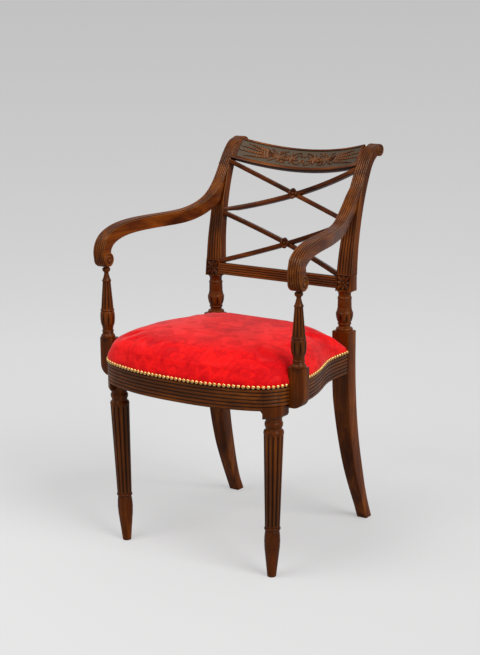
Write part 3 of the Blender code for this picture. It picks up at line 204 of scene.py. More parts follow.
def make_lights():
    """The two lamps, and the grey light of the room, which is what the camera and gloss see of it."""
    sun = bpy.data.lights.new("window_light", "SUN")
    sun.energy, sun.angle = SUN_STRENGTH, math.radians(SUN_WIDE)
    softbox = bpy.data.lights.new("softbox_overhead", "AREA")
    softbox.shape, softbox.size, softbox.energy = "SQUARE", SOFTBOX_SIZE, SOFTBOX_POWER
    for lamp, spot, heading in ((sun, SUN_FROM, -Vector(SUN_FROM)),
                                (softbox, SOFTBOX_AT, Vector(SOFTBOX_AIM) - Vector(SOFTBOX_AT))):
        holder = placed(lamp.name, lamp)
        holder.location = spot
        holder.rotation_euler = heading.to_track_quat("-Z", "Y").to_euler()
    world = bpy.data.worlds.new("grey_room")
    world.use_nodes = True
    world.node_tree.nodes.clear()
    start = Shade(world.node_tree)
    seen, glossy, through = (start.node("LightPath", {}, {}, output="Is %s Ray" % kind)
                             for kind in ("Camera", "Glossy", "Transmission"))
    looked_at = start.sum("MAXIMUM", start.sum("MAXIMUM", seen, glossy), through)
    strength = looked_at * (1.0 - ROOM_LIGHT) + ROOM_LIGHT
    light = start.node("Background", {}, {"Color": (ROOM_GREY, ROOM_GREY, ROOM_GREY), "Strength": strength})
    start.node("OutputWorld", {}, {"Surface": light})
    bpy.context.scene.world = world


def make_camera():
    """The camera at the place and angle from which the chair was photographed."""
    lens = bpy.data.cameras.new("camera")
    lens.lens = lens.sensor_width * FOCAL_PIXELS / LONG_SIDE_PIXELS
    camera = placed("camera", lens)
    tilt, roll, yaw = CAMERA_TURN
    camera.matrix_world = (Matrix.Translation(CAMERA_AT) @ Matrix.Rotation(yaw, 4, "Z")
                           @ Matrix.Rotation(tilt, 4, "X") @ Matrix.Rotation(roll, 4, "Z"))
    bpy.context.scene.camera = camera


make_floor()
make_lights()
make_camera()
bpy.context.scene.view_settings.view_transform = "Standard"

# Front legs, solid mahogany, each from one square length: turned foot and ring, a shaft with twelve
# round reeds cut between ring and collar, and a square at the seat that takes the rails. The seat's
# reeds are carved on round the outer corner of the square, over a plain band.
# HOME is where the chair's own middle lies in the frame. JOINT_GAP is the clearance in a joint, and
# LEG_GAP is what the leg's square and the side rail each leave of it.
HOME = np.array((0.0, -0.0179, 0.0))
JOINT_GAP, LEG_GAP = 0.0003, 0.0002
# The seat's plan: the middle of its bowed front, its widest place, and where it meets the posts.
SEAT_FRONT = -0.2425
WIDE_X, WIDE_Y = 0.2272, -0.0900
POST_OUT_X, POST_FRONT, REAR_RAIL_BACK = 0.1893, 0.1343, 0.1670
CORNER_X, CORNER_Y = WIDE_X - 0.0228, SEAT_FRONT + 0.0481
REAR_X = POST_OUT_X - 0.0010
WAIST_X, WAIST_Y = REAR_X + 0.0014, 0.0600
HIP_X, HIP_Y = WAIST_X + 0.56 * (WIDE_X - WAIST_X), -0.0120
# The rails' reeds, and over them the rebate that the cover is nailed on.
RAIL_BOTTOM, REED_PITCH, RAIL_REEDS, RAIL_REED_DEPTH = 0.3583, 0.00735, 6, 0.0019
REEDS_TOP = RAIL_BOTTOM + RAIL_REEDS * REED_PITCH
RAIL_TOP, REBATE = REEDS_TOP + 0.009, 0.0019
# The leg's square, and its turned length, which leans outwards and forwards below it.
LEG_X, LEG_Y = CORNER_X - 0.0084, CORNER_Y + 0.0251
LEG_HALF, LEG_BLOCK_BOTTOM, LEG_LAP = 0.0215, RAIL_BOTTOM - 0.0170, 0.017
LEG_RAKE = (0.0084 / LEG_BLOCK_BOTTOM, -0.0033 / LEG_BLOCK_BOTTOM)
LEG_REEDS, LEG_REED_DEPTH, LEG_REED_ARCH, LEG_REED_END = 12, 0.0019, 0.0022, 0.0012
LEG_SHAFT_FOOT_R, LEG_SHAFT_MIDDLE_R = 0.0155, 0.0180
LEG_CHAMFER, LEG_SLOPE_IN, LEG_SLOPE_HIGH = 0.0150, 0.0032, 0.0055
SEAM_X, CORNER_REAR_Y = LEG_X - LEG_HALF + LEG_LAP, LEG_Y + LEG_HALF
# The wood's colours, and its marks in waves per metre, drawn out along the grain.
MAHOGANY_DARK = (0.021, 0.0042, 0.0010)
MAHOGANY_MIDDLE = (0.092, 0.0180, 0.0015)
MAHOGANY_LIGHT = (0.275, 0.0700, 0.0040)
# The next three paint light and shade: painted shade in hollows, dust with a painted grey sheen, and wear
# with a painted highlight.
MAHOGANY_PAINTED_SHADE = (0.0050, 0.0024, 0.0015)
MAHOGANY_DUST_AND_SHEEN = (0.0960, 0.0700, 0.0480)
MAHOGANY_WORN_AND_HIGHLIGHT = (0.310, 0.1250, 0.0300)
STREAK_WAVES, FIGURE_WAVES, PORE_WAVES, DRAWN_OUT = 55.0, 11.0, 900.0, 0.06
WAX_TINT, WAX_GLOSS = (1.0, 0.87, 0.68), 0.18


def mahogany(name, grain, shift, warmth=0.0, wear_and_highlight_colour=MAHOGANY_WORN_AND_HIGHLIGHT):
    """Waxed mahogany, whose grain runs along X, Y or Z.

    Colour: long streaks of noise, drawn out along the grain, between a dark and a light red-brown, darkened
    by short pores. The mesh says how hollow it is: wear with a painted highlight below 0, painted shade up
    to 1, and dust with a painted grey sheen above.
    """
    material, start = new_finish(name)
    stretch = [1.0, 1.0, 1.0]
    stretch["XYZ".index(grain)] = DRAWN_OUT
    along = start.place(stretch, shift)
    streaks = start.noise(along, STREAK_WAVES, detail=5.0, roughness=0.62, distortion=0.4)
    figure = start.noise(start.place(shift=shift), FIGURE_WAVES, detail=2.0)
    pores = start.noise(along, PORE_WAVES, detail=2.0, roughness=0.5).step(0.58, 0.72)
    hollow = start.attribute("hollow")
    tone = streaks * 0.75 + figure * 0.35 + (warmth - 0.05)
    stops = ((0.30, MAHOGANY_DARK), (0.52, MAHOGANY_MIDDLE), (0.80, MAHOGANY_LIGHT))
    wood = start.node("ValToRGB", {"stops": stops}, {"Fac": tone})
    wood = (pores * 0.40).blend(wood, MAHOGANY_DARK)
    # Painted light and shade from the mesh: wear with a painted highlight below 0, painted shade from 0.15 to
    # 0.9, and dust with a painted grey sheen above 1.
    wood = ((0.0 - hollow).step(0.0, 1.0) * 0.8).blend(wood, wear_and_highlight_colour)
    wood = (hollow.step(0.15, 0.90) * 0.93).blend(wood, MAHOGANY_PAINTED_SHADE)
    wood = hollow.step(1.0, 1.5).blend(wood, MAHOGANY_DUST_AND_SHEEN)
    roughness = 0.20 + streaks * 0.12 + hollow * 0.25
    height = streaks * 0.5 + (1.0 - pores) * 0.5
    return coat(material, start, {"Base Color": wood, "Roughness": roughness, "Specular Tint": WAX_TINT,
                                  "Specular IOR Level": WAX_GLOSS,
                                  "Normal": start.bumped(height, 0.22, 0.0004)})


def spline(points, count=None):
    """The natural cubic spline through a few points, drawn with points at even distances.

    Between two knots, the curve is the line between them plus a cubic whose bend runs evenly from one
    knot's to the next; the bends follow from equal slopes on both sides of every knot.
    """
    points = np.asarray(points, float)
    knots = run_along(points)
    step = np.diff(knots)
    slope = np.diff(points, axis=0) / step[:, None]
    inner = np.arange(1, len(points) - 1)
    system = np.eye(len(points))
    system[inner, inner - 1] = step[:-1]
    system[inner, inner] = 2 * (step[:-1] + step[1:])
    system[inner, inner + 1] = step[1:]
    wanted = np.zeros_like(points)
    wanted[inner] = 6 * np.diff(slope, axis=0)
    bend = np.linalg.solve(system, wanted)
    at = np.linspace(0, knots[-1], 60 * len(points))
    span = np.clip(np.searchsorted(knots, at, side="right") - 1, 0, len(points) - 2)
    before, after, width = (at - knots[span])[:, None], (knots[span + 1] - at)[:, None], step[span][:, None]
    fine = (bend[span] * after ** 3 + bend[span + 1] * before ** 3) / (6 * width)
    fine += (points[span] / width - bend[span] * width / 6) * after
    fine += (points[span + 1] / width - bend[span + 1] * width / 6) * before
    return evenly(fine, count) if count else fine


def evenly(line, count):
    """A line drawn again with a number of points at even distances."""
    run = run_along(line)
    at = np.linspace(0, run[-1], count)
    return np.stack([np.interp(at, run, column) for column in line.T], axis=-1)


def run_along(line):
    """How far along a line each of its points is."""
    return np.concatenate([[0.0], np.cumsum(np.linalg.norm(np.diff(line, axis=0), axis=1))])


def unit(rows):
    """Each row's own direction, one long."""
    return rows / np.linalg.norm(rows, axis=1)[:, None]


def directions(line):
    """Unit vectors along a line at each of its points."""
    return unit(np.gradient(line, axis=0))


def smooth(zero_at, one_at, value):
    """0 up to one place and 1 from another on, smooth between. The first may be the higher."""
    share = np.clip((value - zero_at) / (one_at - zero_at), 0, 1)
    return share * share * (3 - 2 * share)


def reeds(count, samples=10, closed=False):
    """Places across a row of round reeds, in reeds, and how far below their crests, from 0 to 1.

    Each reed is half a circle cut at even angles: its place is (1 - cos) / 2, its drop 1 - sin. A closed
    row runs on into its first reed, so it has no last place.
    """
    turn = np.tile(np.linspace(0, np.pi, samples, endpoint=False), count)
    place, drop = np.repeat(np.arange(count), samples) + (1 - np.cos(turn)) / 2, 1 - np.sin(turn)
    return (place, drop) if closed else (np.append(place, count), np.append(drop, 1.0))


def reed_tone(drop):
    """The tone of a reed at a drop below its crest: a little wear and painted highlight on the crest,
    painted shade down in the groove.
    """
    return np.clip(2.4 * drop - 0.3, -0.3, 1.0)


def moulding(*runs):
    """A turned profile from runs of (end height, end radius, bulge, points), after a first (height, radius).

    Each run goes straight from the last point to its own, and swells on the way by half an ellipse.
    """
    (height, radius), heights, radii = runs[0], [runs[0][0]], [runs[0][1]]
    for end_height, end_radius, bulge, count in runs[1:]:
        share = (1 - np.cos(np.linspace(0, np.pi, count + 1)[1:])) / 2
        heights.extend(height + (end_height - height) * share)
        radii.extend(radius + (end_radius - radius) * share + bulge * 2 * np.sqrt(share * (1 - share)))
        height, radius = end_height, end_radius
    return np.array(heights), np.array(radii)


def once_round(count):
    """Angles at even steps once round."""
    return np.linspace(0, math.tau, count, endpoint=False)


def dome(share):
    """The height of a half-circle: 1 in the middle, and 0 from a share of 1 outwards."""
    return np.sqrt(np.clip(1 - share ** 2, 0, 1))


def grid_of(x, y, z):
    """A grid of points, from its three coordinates as rows, columns or whole grids."""
    return np.stack(np.broadcast_arrays(x, y, z), axis=-1)


def patch(points, hollow=0.0, around=True, caps=True):
    """A grid of points as rows along a piece and columns round it, ready to be put into a mesh.

    around joins the last column to the first, and caps close both ends with a flat face.
    """
    rows, columns = points.shape[:2]
    index = np.arange(rows * columns).reshape(rows, columns)
    joined = np.hstack([index, index[:, :1]]) if around else index
    quads = np.stack([joined[:-1, :-1], joined[:-1, 1:], joined[1:, 1:], joined[1:, :-1]], axis=-1)
    faces = quads.reshape(-1, 4).tolist()
    if caps:
        faces += [index[0, ::-1].tolist(), index[-1].tolist()]
    return points.reshape(-1, 3), faces, np.broadcast_to(hollow, (rows, columns)).reshape(-1)


def mesh_of(name, patches, side=1):
    """One mesh from patches at positive X, or their mirror image where side is -1, its doubles merged and
    its faces turned outwards.
    """
    points, faces, hollow, first = [], [], [], 0
    for spots, corners, depth in patches:
        points.append(spots * (side, 1, 1) + HOME)
        faces += [[first + corner for corner in face] for face in corners]
        hollow.append(depth)
        first += len(spots)
    data = bpy.data.meshes.new(name)
    data.from_pydata(np.concatenate(points), [], faces)
    attribute = data.attributes.new("hollow", "FLOAT", "POINT")
    attribute.data.foreach_set("value", np.concatenate(hollow).astype(np.float32))
    mesh = bmesh.new()
    mesh.from_mesh(data)
    bmesh.ops.remove_doubles(mesh, verts=mesh.verts, dist=0.000001)
    bmesh.ops.recalc_face_normals(mesh, faces=mesh.faces)
    mesh.to_mesh(data)
    mesh.free()
    return data


def make_piece(name, patches, finish, node=None, side=1, crease=38.0):
    """A piece of the chair, in place of its CAD node where it has one."""
    data = mesh_of(name, patches, side)
    data.shade_smooth()
    data.set_sharp_from_angle(angle=math.radians(crease))
    data.materials.append(finish)
    made = placed(name, data)
    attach(made, "root")
    if node:
        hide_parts(node)
    return made


def make_pair(part, ending, patches, finish):
    """A part's right-hand piece, and its mirror image on the left."""
    for side, hand in ((1, "right"), (-1, "left")):
        node = "%s_%s" % (part, hand)
        make_piece("%s_%s" % (node, ending), patches, finish, node, side=side)


def turning(axis, heights, radii, turn=once_round(48), cut=0.0, rake=(0.0, 0.0), rake_foot=0.0):
    """A turned length: at each height a circle about an axis that may lean, with its radius less any cut."""
    reach = radii[:, None] - cut
    lean = (heights - rake_foot)[:, None]
    return grid_of(axis[0] + rake[0] * lean + reach * np.cos(turn),
                   axis[1] + rake[1] * lean + reach * np.sin(turn), heights[:, None])


def seat_plan():
    """The plan of the seat's right half at the crests of the reeds, and its outward directions."""
    half = [(0.0, SEAT_FRONT), (0.090, SEAT_FRONT + 0.0055), (WIDE_X - 0.0742, SEAT_FRONT + 0.0210),
            (CORNER_X, CORNER_Y), (WIDE_X, WIDE_Y), (HIP_X, HIP_Y), (WAIST_X, WAIST_Y),
            (REAR_X, POST_FRONT - 0.0005), (REAR_X - 0.003, REAR_RAIL_BACK)]
    line = spline([(-x, y) for x, y in reversed(half[1:])] + half, 1601)
    along = directions(line)
    right = line[:, 0] >= -1e-9
    return line[right], np.stack([along[right, 1], -along[right, 0]], axis=-1)


PLAN, PLAN_OUT = seat_plan()
PLAN_RUN = run_along(PLAN)


def plan_run(x=None, y=None):
    """How far along the plan's right half it passes an X on the front, or a Y on the side."""
    if y is None:
        return PLAN_RUN[np.argmin(np.abs(PLAN[:, 0] - x) + 10 * (PLAN[:, 1] > CORNER_Y))]
    return PLAN_RUN[np.argmin(np.abs(PLAN[:, 1] - y) + 10 * (PLAN[:, 0] < CORNER_X - 0.1))]


def plan_stations(first, last, count):
    """Points and outward directions along the plan between two distances."""
    at = np.linspace(first, last, count)
    return [np.stack([np.interp(at, PLAN_RUN, column) for column in lines.T], axis=-1)
            for lines in (PLAN, PLAN_OUT)]


def make_front_leg_shaft():
    """Foot, ring, reeded shaft and collar as one turned length, with the reeds cut between two heights."""
    foot_z, foot_r = moulding((0.0, 0.0084), (0.0010, 0.0092, 0.0, 2), (0.0352, 0.0128, 0.0, 6),
                              (0.0540, 0.0147, 0.0001, 6), (0.0720, 0.0159, 0.0004, 8),
                              (0.0995, 0.0142, 0.0010, 16), (0.1012, 0.0142, 0.0, 1),
                              (0.1072, 0.0146, 0.0024, 10), (0.1080, 0.0150, 0.0, 1))
    head_z, head_r = moulding((0.3060, 0.0203), (0.3128, 0.0189, 0.0009, 8), (0.3155, 0.0165, -0.0005, 5),
                              (0.3196, 0.0166, 0.0, 2), (0.3306, 0.0169, 0.0019, 10),
                              (0.3345, 0.0167, -0.0003, 5), (0.3395, 0.0174, -0.0006, 5),
                              (LEG_BLOCK_BOTTOM + 0.0010, 0.0187, 0.0, 2))
    bottom, top = foot_z[-1] + 0.0002, head_z[0] - 0.0002
    ends = np.linspace(0, 0.008, 14)
    shaft_z = np.concatenate([bottom + ends, np.linspace(bottom + 0.012, top - 0.012, 34), top - ends[::-1]])
    shaft_r = np.interp(shaft_z, (bottom, top), (LEG_SHAFT_FOOT_R, head_r[0]))
    heights = np.concatenate([foot_z, shaft_z, head_z])
    radii = np.concatenate([foot_r, shaft_r, head_r])
    place, drop = reeds(LEG_REEDS, closed=True)
    low = bottom + LEG_REED_ARCH * (2 * (place % 1) - 1) ** 2
    high = top - (low - bottom)
    inside = smooth(low, low + LEG_REED_END, heights[:, None])
    inside = inside * smooth(high, high - LEG_REED_END, heights[:, None])
    cut = LEG_REED_DEPTH * inside * drop * (radii / LEG_SHAFT_MIDDLE_R)[:, None]
    grid = turning((LEG_X, LEG_Y), heights, radii, math.tau * place / LEG_REEDS, cut, LEG_RAKE,
                   LEG_BLOCK_BOTTOM)
    return patch(grid, inside * reed_tone(drop))


def make_front_leg_square():
    """The leg's square: straight inner faces, and an outer corner on the seat's plan with five reeds.

    Each row is the square's outline at one height, the plan curve set in by the drop of the reeds there.
    """
    place, drop = reeds(RAIL_REEDS - 1)
    band_top = RAIL_BOTTOM + REED_PITCH
    eased = np.concatenate([(0.0006, 0.0002, 0.0), np.zeros(14)])
    plain_z = LEG_BLOCK_BOTTOM + np.array((0.0, 0.0004, 0.0010))
    plain_z = np.concatenate([plain_z, np.linspace(LEG_BLOCK_BOTTOM + 0.0020, band_top - 0.0002, 14)])
    slope = LEG_SLOPE_IN * np.clip(1 - (plain_z - LEG_BLOCK_BOTTOM) / LEG_SLOPE_HIGH, 0, 1) ** 1.3
    heights = np.concatenate([plain_z, band_top + place * REED_PITCH, [REEDS_TOP, RAIL_TOP]])
    sunk = np.concatenate([slope, drop * RAIL_REED_DEPTH, [REBATE, REBATE]])
    eased = np.concatenate([eased, np.zeros(len(heights) - len(eased))])
    curve, outward = plan_stations(plan_run(x=SEAM_X) + LEG_GAP, plan_run(y=CORNER_REAR_Y) - LEG_GAP, 30)
    outer = curve[None] - outward[None] * sunk[:, None, None]
    plain = heights[:, None] < band_top
    outer_x = np.where(plain, np.minimum(outer[..., 0], LEG_X + LEG_HALF - sunk[:, None]), outer[..., 0])
    chamfer = np.clip(LEG_CHAMFER - (heights - LEG_BLOCK_BOTTOM), 0.0004, None)
    left, front = LEG_X - LEG_HALF + eased, LEG_Y - LEG_HALF + eased
    rear = np.full(len(heights), CORNER_REAR_Y - LEG_GAP)
    seam = np.full(len(heights), curve[0, 0] - 0.0005)
    x = np.concatenate([np.stack([left, left, left + chamfer, seam], axis=1), outer_x], axis=1)
    y = np.concatenate([np.stack([rear, front + chamfer, front, front], axis=1), outer[..., 1]], axis=1)
    hollow = np.zeros(x.shape)
    # The rebate's two rows take painted shade under the cover.
    hollow[:, 4:] = np.concatenate([np.zeros(len(plain_z)), reed_tone(drop), (1.0, 1.0)])[:, None]
    return patch(grid_of(x, y, heights[:, None]), hollow)


leg_wood = mahogany("mahogany_front_legs", "Z", (0.3, 0.1, 0.0), warmth=0.02)
make_pair("front_leg", "reeded", [make_front_leg_shaft(), make_front_leg_square()], leg_wood)

# Seat rails in mahogany, sawn to the bowed plan and reeded along the outside. The front rail is lapped
# on the legs, the side rails are tenoned into legs and posts, and the plain rear rail into the posts.
# Corner blocks of beech, screws and jute webbing finish the frame under the seat.
RAIL_THICK, RAIL_EASE, REAR_RAIL_THICK, POST_WIDE = 0.022, 0.001, 0.0200, 0.0410
JUTE_THREADS = math.tau / 0.0032


def rail_band(line, outward):
    """The rail's section carried along the plan: six reeds outside, a rebate for the cover, a flat back."""
    place, drop = reeds(RAIL_REEDS)
    face_z = np.concatenate([RAIL_BOTTOM + place * REED_PITCH, (REEDS_TOP, RAIL_TOP)])
    back_in = RAIL_THICK - np.array((RAIL_EASE, 0.0, 0.0, RAIL_EASE))
    back_z = (RAIL_TOP, RAIL_TOP - RAIL_EASE, RAIL_BOTTOM + RAIL_EASE, RAIL_BOTTOM)
    offset = np.concatenate([drop * RAIL_REED_DEPTH, (REBATE, REBATE), back_in])
    plan = line[:, None] - outward[:, None] * offset[:, None]
    # The rebate's two rows take painted shade under the cover.
    hollow = np.concatenate([reed_tone(drop), (1.0, 1.0), np.zeros(4)])
    return patch(grid_of(plan[..., 0], plan[..., 1], np.concatenate([face_z, back_z])), hollow)


rail_wood = mahogany("mahogany_front_rail", "X", (0.7, 0.2, 0.4))
side_rail_wood = mahogany("mahogany_side_rails", "Y", (0.2, 0.6, 0.1))
line, outward = plan_stations(0.0, plan_run(x=SEAM_X) - JOINT_GAP, 70)
line = np.concatenate([line[:0:-1] * (-1, 1), line])
outward = np.concatenate([outward[:0:-1] * (-1, 1), outward])
make_piece("front_rail_reeded", [rail_band(line, outward)], rail_wood, "front_rail")
line, outward = plan_stations(plan_run(y=CORNER_REAR_Y) + LEG_GAP, plan_run(y=POST_FRONT) - JOINT_GAP, 100)
make_pair("side_rail", "reeded", [rail_band(line, outward)], side_rail_wood)


def eased_section(wide, high, ease, steps=5):
    """A rectangle about its middle with round corners, as places across and up. Its sizes may be columns."""
    turn = np.linspace(0, math.pi / 2, steps)
    across, up = [], []
    for right, above, quarter in ((1, 1, 0), (-1, 1, 1), (-1, -1, 2), (1, -1, 3)):
        across.append(right * (wide / 2 - ease) + ease * np.cos(turn + quarter * math.pi / 2))
        up.append(above * (high / 2 - ease) + ease * np.sin(turn + quarter * math.pi / 2))
    return np.concatenate(across, axis=-1), np.concatenate(up, axis=-1)


def make_rear_rail():
    """A plain board between the posts, with its corners eased."""
    across, up = eased_section(REAR_RAIL_THICK, RAIL_TOP - RAIL_BOTTOM, 0.0012)
    end = POST_OUT_X - POST_WIDE - JOINT_GAP
    return patch(grid_of(np.linspace(-end, end, 40)[:, None], REAR_RAIL_BACK - REAR_RAIL_THICK / 2 + across,
                         (RAIL_TOP + RAIL_BOTTOM) / 2 + up))


make_piece("rear_rail_board", [make_rear_rail()], rail_wood, "rear_rail")


def beech():
    """Bare beech: pale, with fine short flecks across noise drawn out along the grain."""
    material, start = new_finish("beech")
    streaks = start.noise(start.place((1.0, 1.0, 0.1)), 120.0, detail=4.0)
    flecks = start.noise(start.place((1.0, 1.0, 0.25)), 700.0, detail=1.0).step(0.6, 0.7)
    wood = streaks.step(0.3, 0.7).blend((0.30, 0.175, 0.080), (0.46, 0.300, 0.155))
    wood = (flecks * 0.5).blend(wood, (0.20, 0.105, 0.045))
    return coat(material, start, {"Base Color": wood, "Roughness": 0.62,
                                  "Normal": start.bumped(streaks, 0.3, 0.0004)})


def jute():
    """Jute webbing: coarse plain weave of brown threads, light and dark at every crossing."""
    material, start = new_finish("jute_webbing")
    point = start.place()
    x, y = (start.node("SeparateXYZ", {}, {"Vector": point}, output=way) for way in (0, 1))
    weave = start.sum("SINE", x * JUTE_THREADS) * start.sum("SINE", y * JUTE_THREADS)
    fibre = start.noise(point, 600.0, detail=3.0)
    cloth = (weave * 0.25 + fibre * 0.8).step(0.1, 0.8).blend((0.16, 0.100, 0.048), (0.42, 0.300, 0.165))
    return coat(material, start, {"Base Color": cloth, "Roughness": 0.92,
                                  "Normal": start.bumped(weave * 0.5 + fibre, 0.6, 0.0006)})


def iron():
    """Blackened iron screws, worn bright in places."""
    material, start = new_finish("screw_iron")
    worn = start.noise(start.place(), 500.0, detail=3.0).step(0.5, 0.7)
    metal = worn.blend((0.10, 0.095, 0.09), (0.34, 0.32, 0.30))
    return coat(material, start, {"Base Color": metal, "Metallic": 1.0, "Roughness": 0.62 - worn * 0.2})


under_seat = {"front_corner_block": beech(), "webbing": jute(), "support_screw": iron()}
under_seat["rear_corner_block"] = under_seat["front_corner_block"]
for name, node in frame["nodes"].items():
    for start_of_name, finish in under_seat.items():
        if name.startswith(start_of_name):
            node.data.materials.clear()
            node.data.materials.append(finish)

# Rear posts, each cut from one mahogany plank: a swept sabre leg, a square at the seat, a turned and
# lobed length, a square with a carved patera, and a raked stile, reeded in front, that rolls over
# backwards into a scroll at its head.
SABRE_TOP, SABRE_SWEEP, SABRE_POWER = 0.4000, 0.0885, 2.15
TOE_DEEP, TOE_WIDE, POST_DEEP, POST_EASE, SQUARE_TOP = 0.0235, 0.0245, 0.0325, 0.0014, 0.4490
SABRE_WIDE_FROM, SABRE_WIDE_TO, SABRE_TUCK = 0.0300, 0.3000, 0.0025
SABRE_DEEP_FROM, SABRE_DEEP_TO = 0.0300, 0.1500
TURN_X, TURN_Y, TURN_TOP, LOBES = 0.1684, 0.1528, 0.5350, 8
PATERA_HIGH, PATERA_HALF, PATERA_SUNK, PATERA_EASE = 0.0370, 0.0150, 0.0022, 0.0012
STILE_OUT_X, STILE_FOOT_WIDE, STILE_TOP_WIDE = 0.1884, 0.0370, 0.0270
STILE_REEDS, STILE_REED_DEPTH = 5, 0.0015
# The stile's side view, as (Y, Z): the front up to the arm's foot, the bare face over it, and the back.
STILE_FRONT = ((0.1398, 0.5350), (0.1440, 0.5720), (0.1523, 0.6300), (0.1589, 0.6590), (0.1669, 0.6942),
               (0.1823, 0.7385), (0.1995, 0.7820))
STILE_FACE = ((0.1962, 0.7825), (0.2110, 0.8046), (0.2250, 0.8210), (0.2390, 0.8316), (0.2600, 0.8375))
STILE_BACK = ((0.1699, 0.5350), (0.1716, 0.5750), (0.1757, 0.6221), (0.1831, 0.6641), (0.1950, 0.7098),
              (0.2106, 0.7529), (0.2219, 0.7775), (0.2350, 0.7990), (0.2480, 0.8105), (0.2620, 0.8165))
SCROLL_Y, SCROLL_Z, SCROLL_R = STILE_FACE[-1][0] + 0.0055, STILE_FACE[-1][1] - 0.0120, 0.0135
STILE_START_Z = TURN_TOP + PATERA_HIGH
ARM_APEX_Z = 0.6980
# A reeded face has a plain arris at each side, light from wear and a painted highlight, and a line below
# it that ends them.
ARRIS, ARRIS_TONE, WEAR_AND_HIGHLIGHT_LINE = 0.0008, -0.8, 0.0012


def make_sabre_leg():
    """The swept leg and the square on it: an eased rectangle at each height, narrower and further back
    towards the toe, by a power of the distance below the seat.
    """
    heights = np.concatenate([(0.0, 0.0006), np.linspace(0.002, SQUARE_TOP - 0.002, 90),
                              (SQUARE_TOP - 0.0006, SQUARE_TOP)])
    inset = np.concatenate([(0.0008, 0.0002), np.zeros(90), (0.0002, 0.0010)])
    drop = np.clip(1 - heights / SABRE_TOP, 0, None)
    deep = TOE_DEEP + (POST_DEEP - TOE_DEEP) * smooth(SABRE_DEEP_FROM, SABRE_DEEP_TO, heights)
    wide = np.interp(heights, (SABRE_WIDE_FROM, SABRE_WIDE_TO), (TOE_WIDE, POST_WIDE))
    middle_y = POST_FRONT + POST_DEEP / 2 + SABRE_SWEEP * drop ** SABRE_POWER
    middle_x = POST_OUT_X - SABRE_TUCK * np.clip(1 - heights / SABRE_WIDE_TO, 0, 1) - wide / 2
    across, along = eased_section((wide - 2 * inset)[:, None], (deep - 2 * inset)[:, None], POST_EASE)
    return patch(grid_of(middle_x[:, None] + across, middle_y[:, None] + along, heights[:, None]))


def lobed_turning(axis, profile, belly_low, belly_high, depth):
    """A turned length whose belly is cut into soft upright lobes, which die out at both its ends."""
    heights, radii = profile
    place, drop = reeds(LOBES, samples=9, closed=True)
    share = np.clip((heights - belly_low) / (belly_high - belly_low), 0, 1)
    swell = np.sin(math.pi * share)[:, None] ** 0.7
    grid = turning(axis, heights, radii, math.tau * place / LOBES, depth * swell * drop ** 1.3)
    return patch(grid, swell * reed_tone(drop))


def make_post_turning():
    """Base ring, low ring, lobed belly, high ring and the flare under the carved square."""
    profile = moulding((SQUARE_TOP - 0.001, 0.0172), (0.4550, 0.0165, 0.0016, 8),
                       (0.4578, 0.0128, -0.0006, 6), (0.4618, 0.0132, 0.0, 2), (0.4662, 0.0134, 0.0017, 7),
                       (0.4672, 0.0136, 0.0, 1), (0.4866, 0.0178, 0.0020, 16), (0.4872, 0.0184, 0.0, 1),
                       (0.4886, 0.0184, 0.0004, 5), (0.4890, 0.0180, 0.0, 1), (0.5020, 0.0152, -0.0007, 10),
                       (0.5164, 0.0147, 0.0, 3), (0.5172, 0.0143, 0.0, 1), (0.5222, 0.0143, 0.0013, 8),
                       (0.5232, 0.0139, 0.0, 1), (0.5285, 0.0139, -0.0004, 5),
                       (TURN_TOP + 0.001, 0.0178, -0.0012, 8))
    return lobed_turning((TURN_X, TURN_Y), profile, belly_low=0.4676, belly_high=0.4868, depth=0.0020)


def petals(across, up, count, radius, eye):
    """The relief of a carved flower, from 0 to 1: petals about an eye, deepest between them."""
    reach, turn = np.hypot(across, up) / radius, np.arctan2(up, across)
    lobe = np.abs(np.cos(count * turn / 2)) ** 0.7
    edge = 0.80 + 0.20 * lobe
    leaf = smooth(edge, edge - 0.16, reach) * (0.35 + 0.65 * lobe)
    leaf = leaf * (0.65 + 0.35 * smooth(0.1, 0.9, reach))
    return np.maximum(leaf * smooth(eye, eye + 0.12, reach), 1.05 * dome(reach / eye))


STILE_FRONT_LINE, STILE_BACK_LINE = spline(STILE_FRONT, 400), spline(STILE_BACK, 600)


def stile_width(z):
    """The stile's width at a height, which tapers upwards from the carved square."""
    return np.interp(z, (STILE_START_Z, STILE_FACE[0][1]), (STILE_FOOT_WIDE, STILE_TOP_WIDE))


def leaf_star(across, up, half):
    """The relief of eight pointed leaves about a button, which fill a square field, from 0 to 1."""
    reach = np.maximum(np.abs(across), np.abs(up)) / half
    turn, eighth = np.arctan2(up, across), math.pi / 8
    aside = np.abs((turn + eighth) % (2 * eighth) - eighth) / eighth
    width = 0.88 * np.sin(math.pi * np.clip(reach, 0.0, 1.0) ** 1.15) ** 0.55 + 0.001
    share = np.clip(aside / width, 0, 1)
    blade = dome(share) * (0.55 + 0.45 * smooth(0.0, 0.35, share)) * (reach < 1)
    return np.maximum(blade * smooth(0.15, 0.24, reach), 1.05 * dome(reach / 0.17))


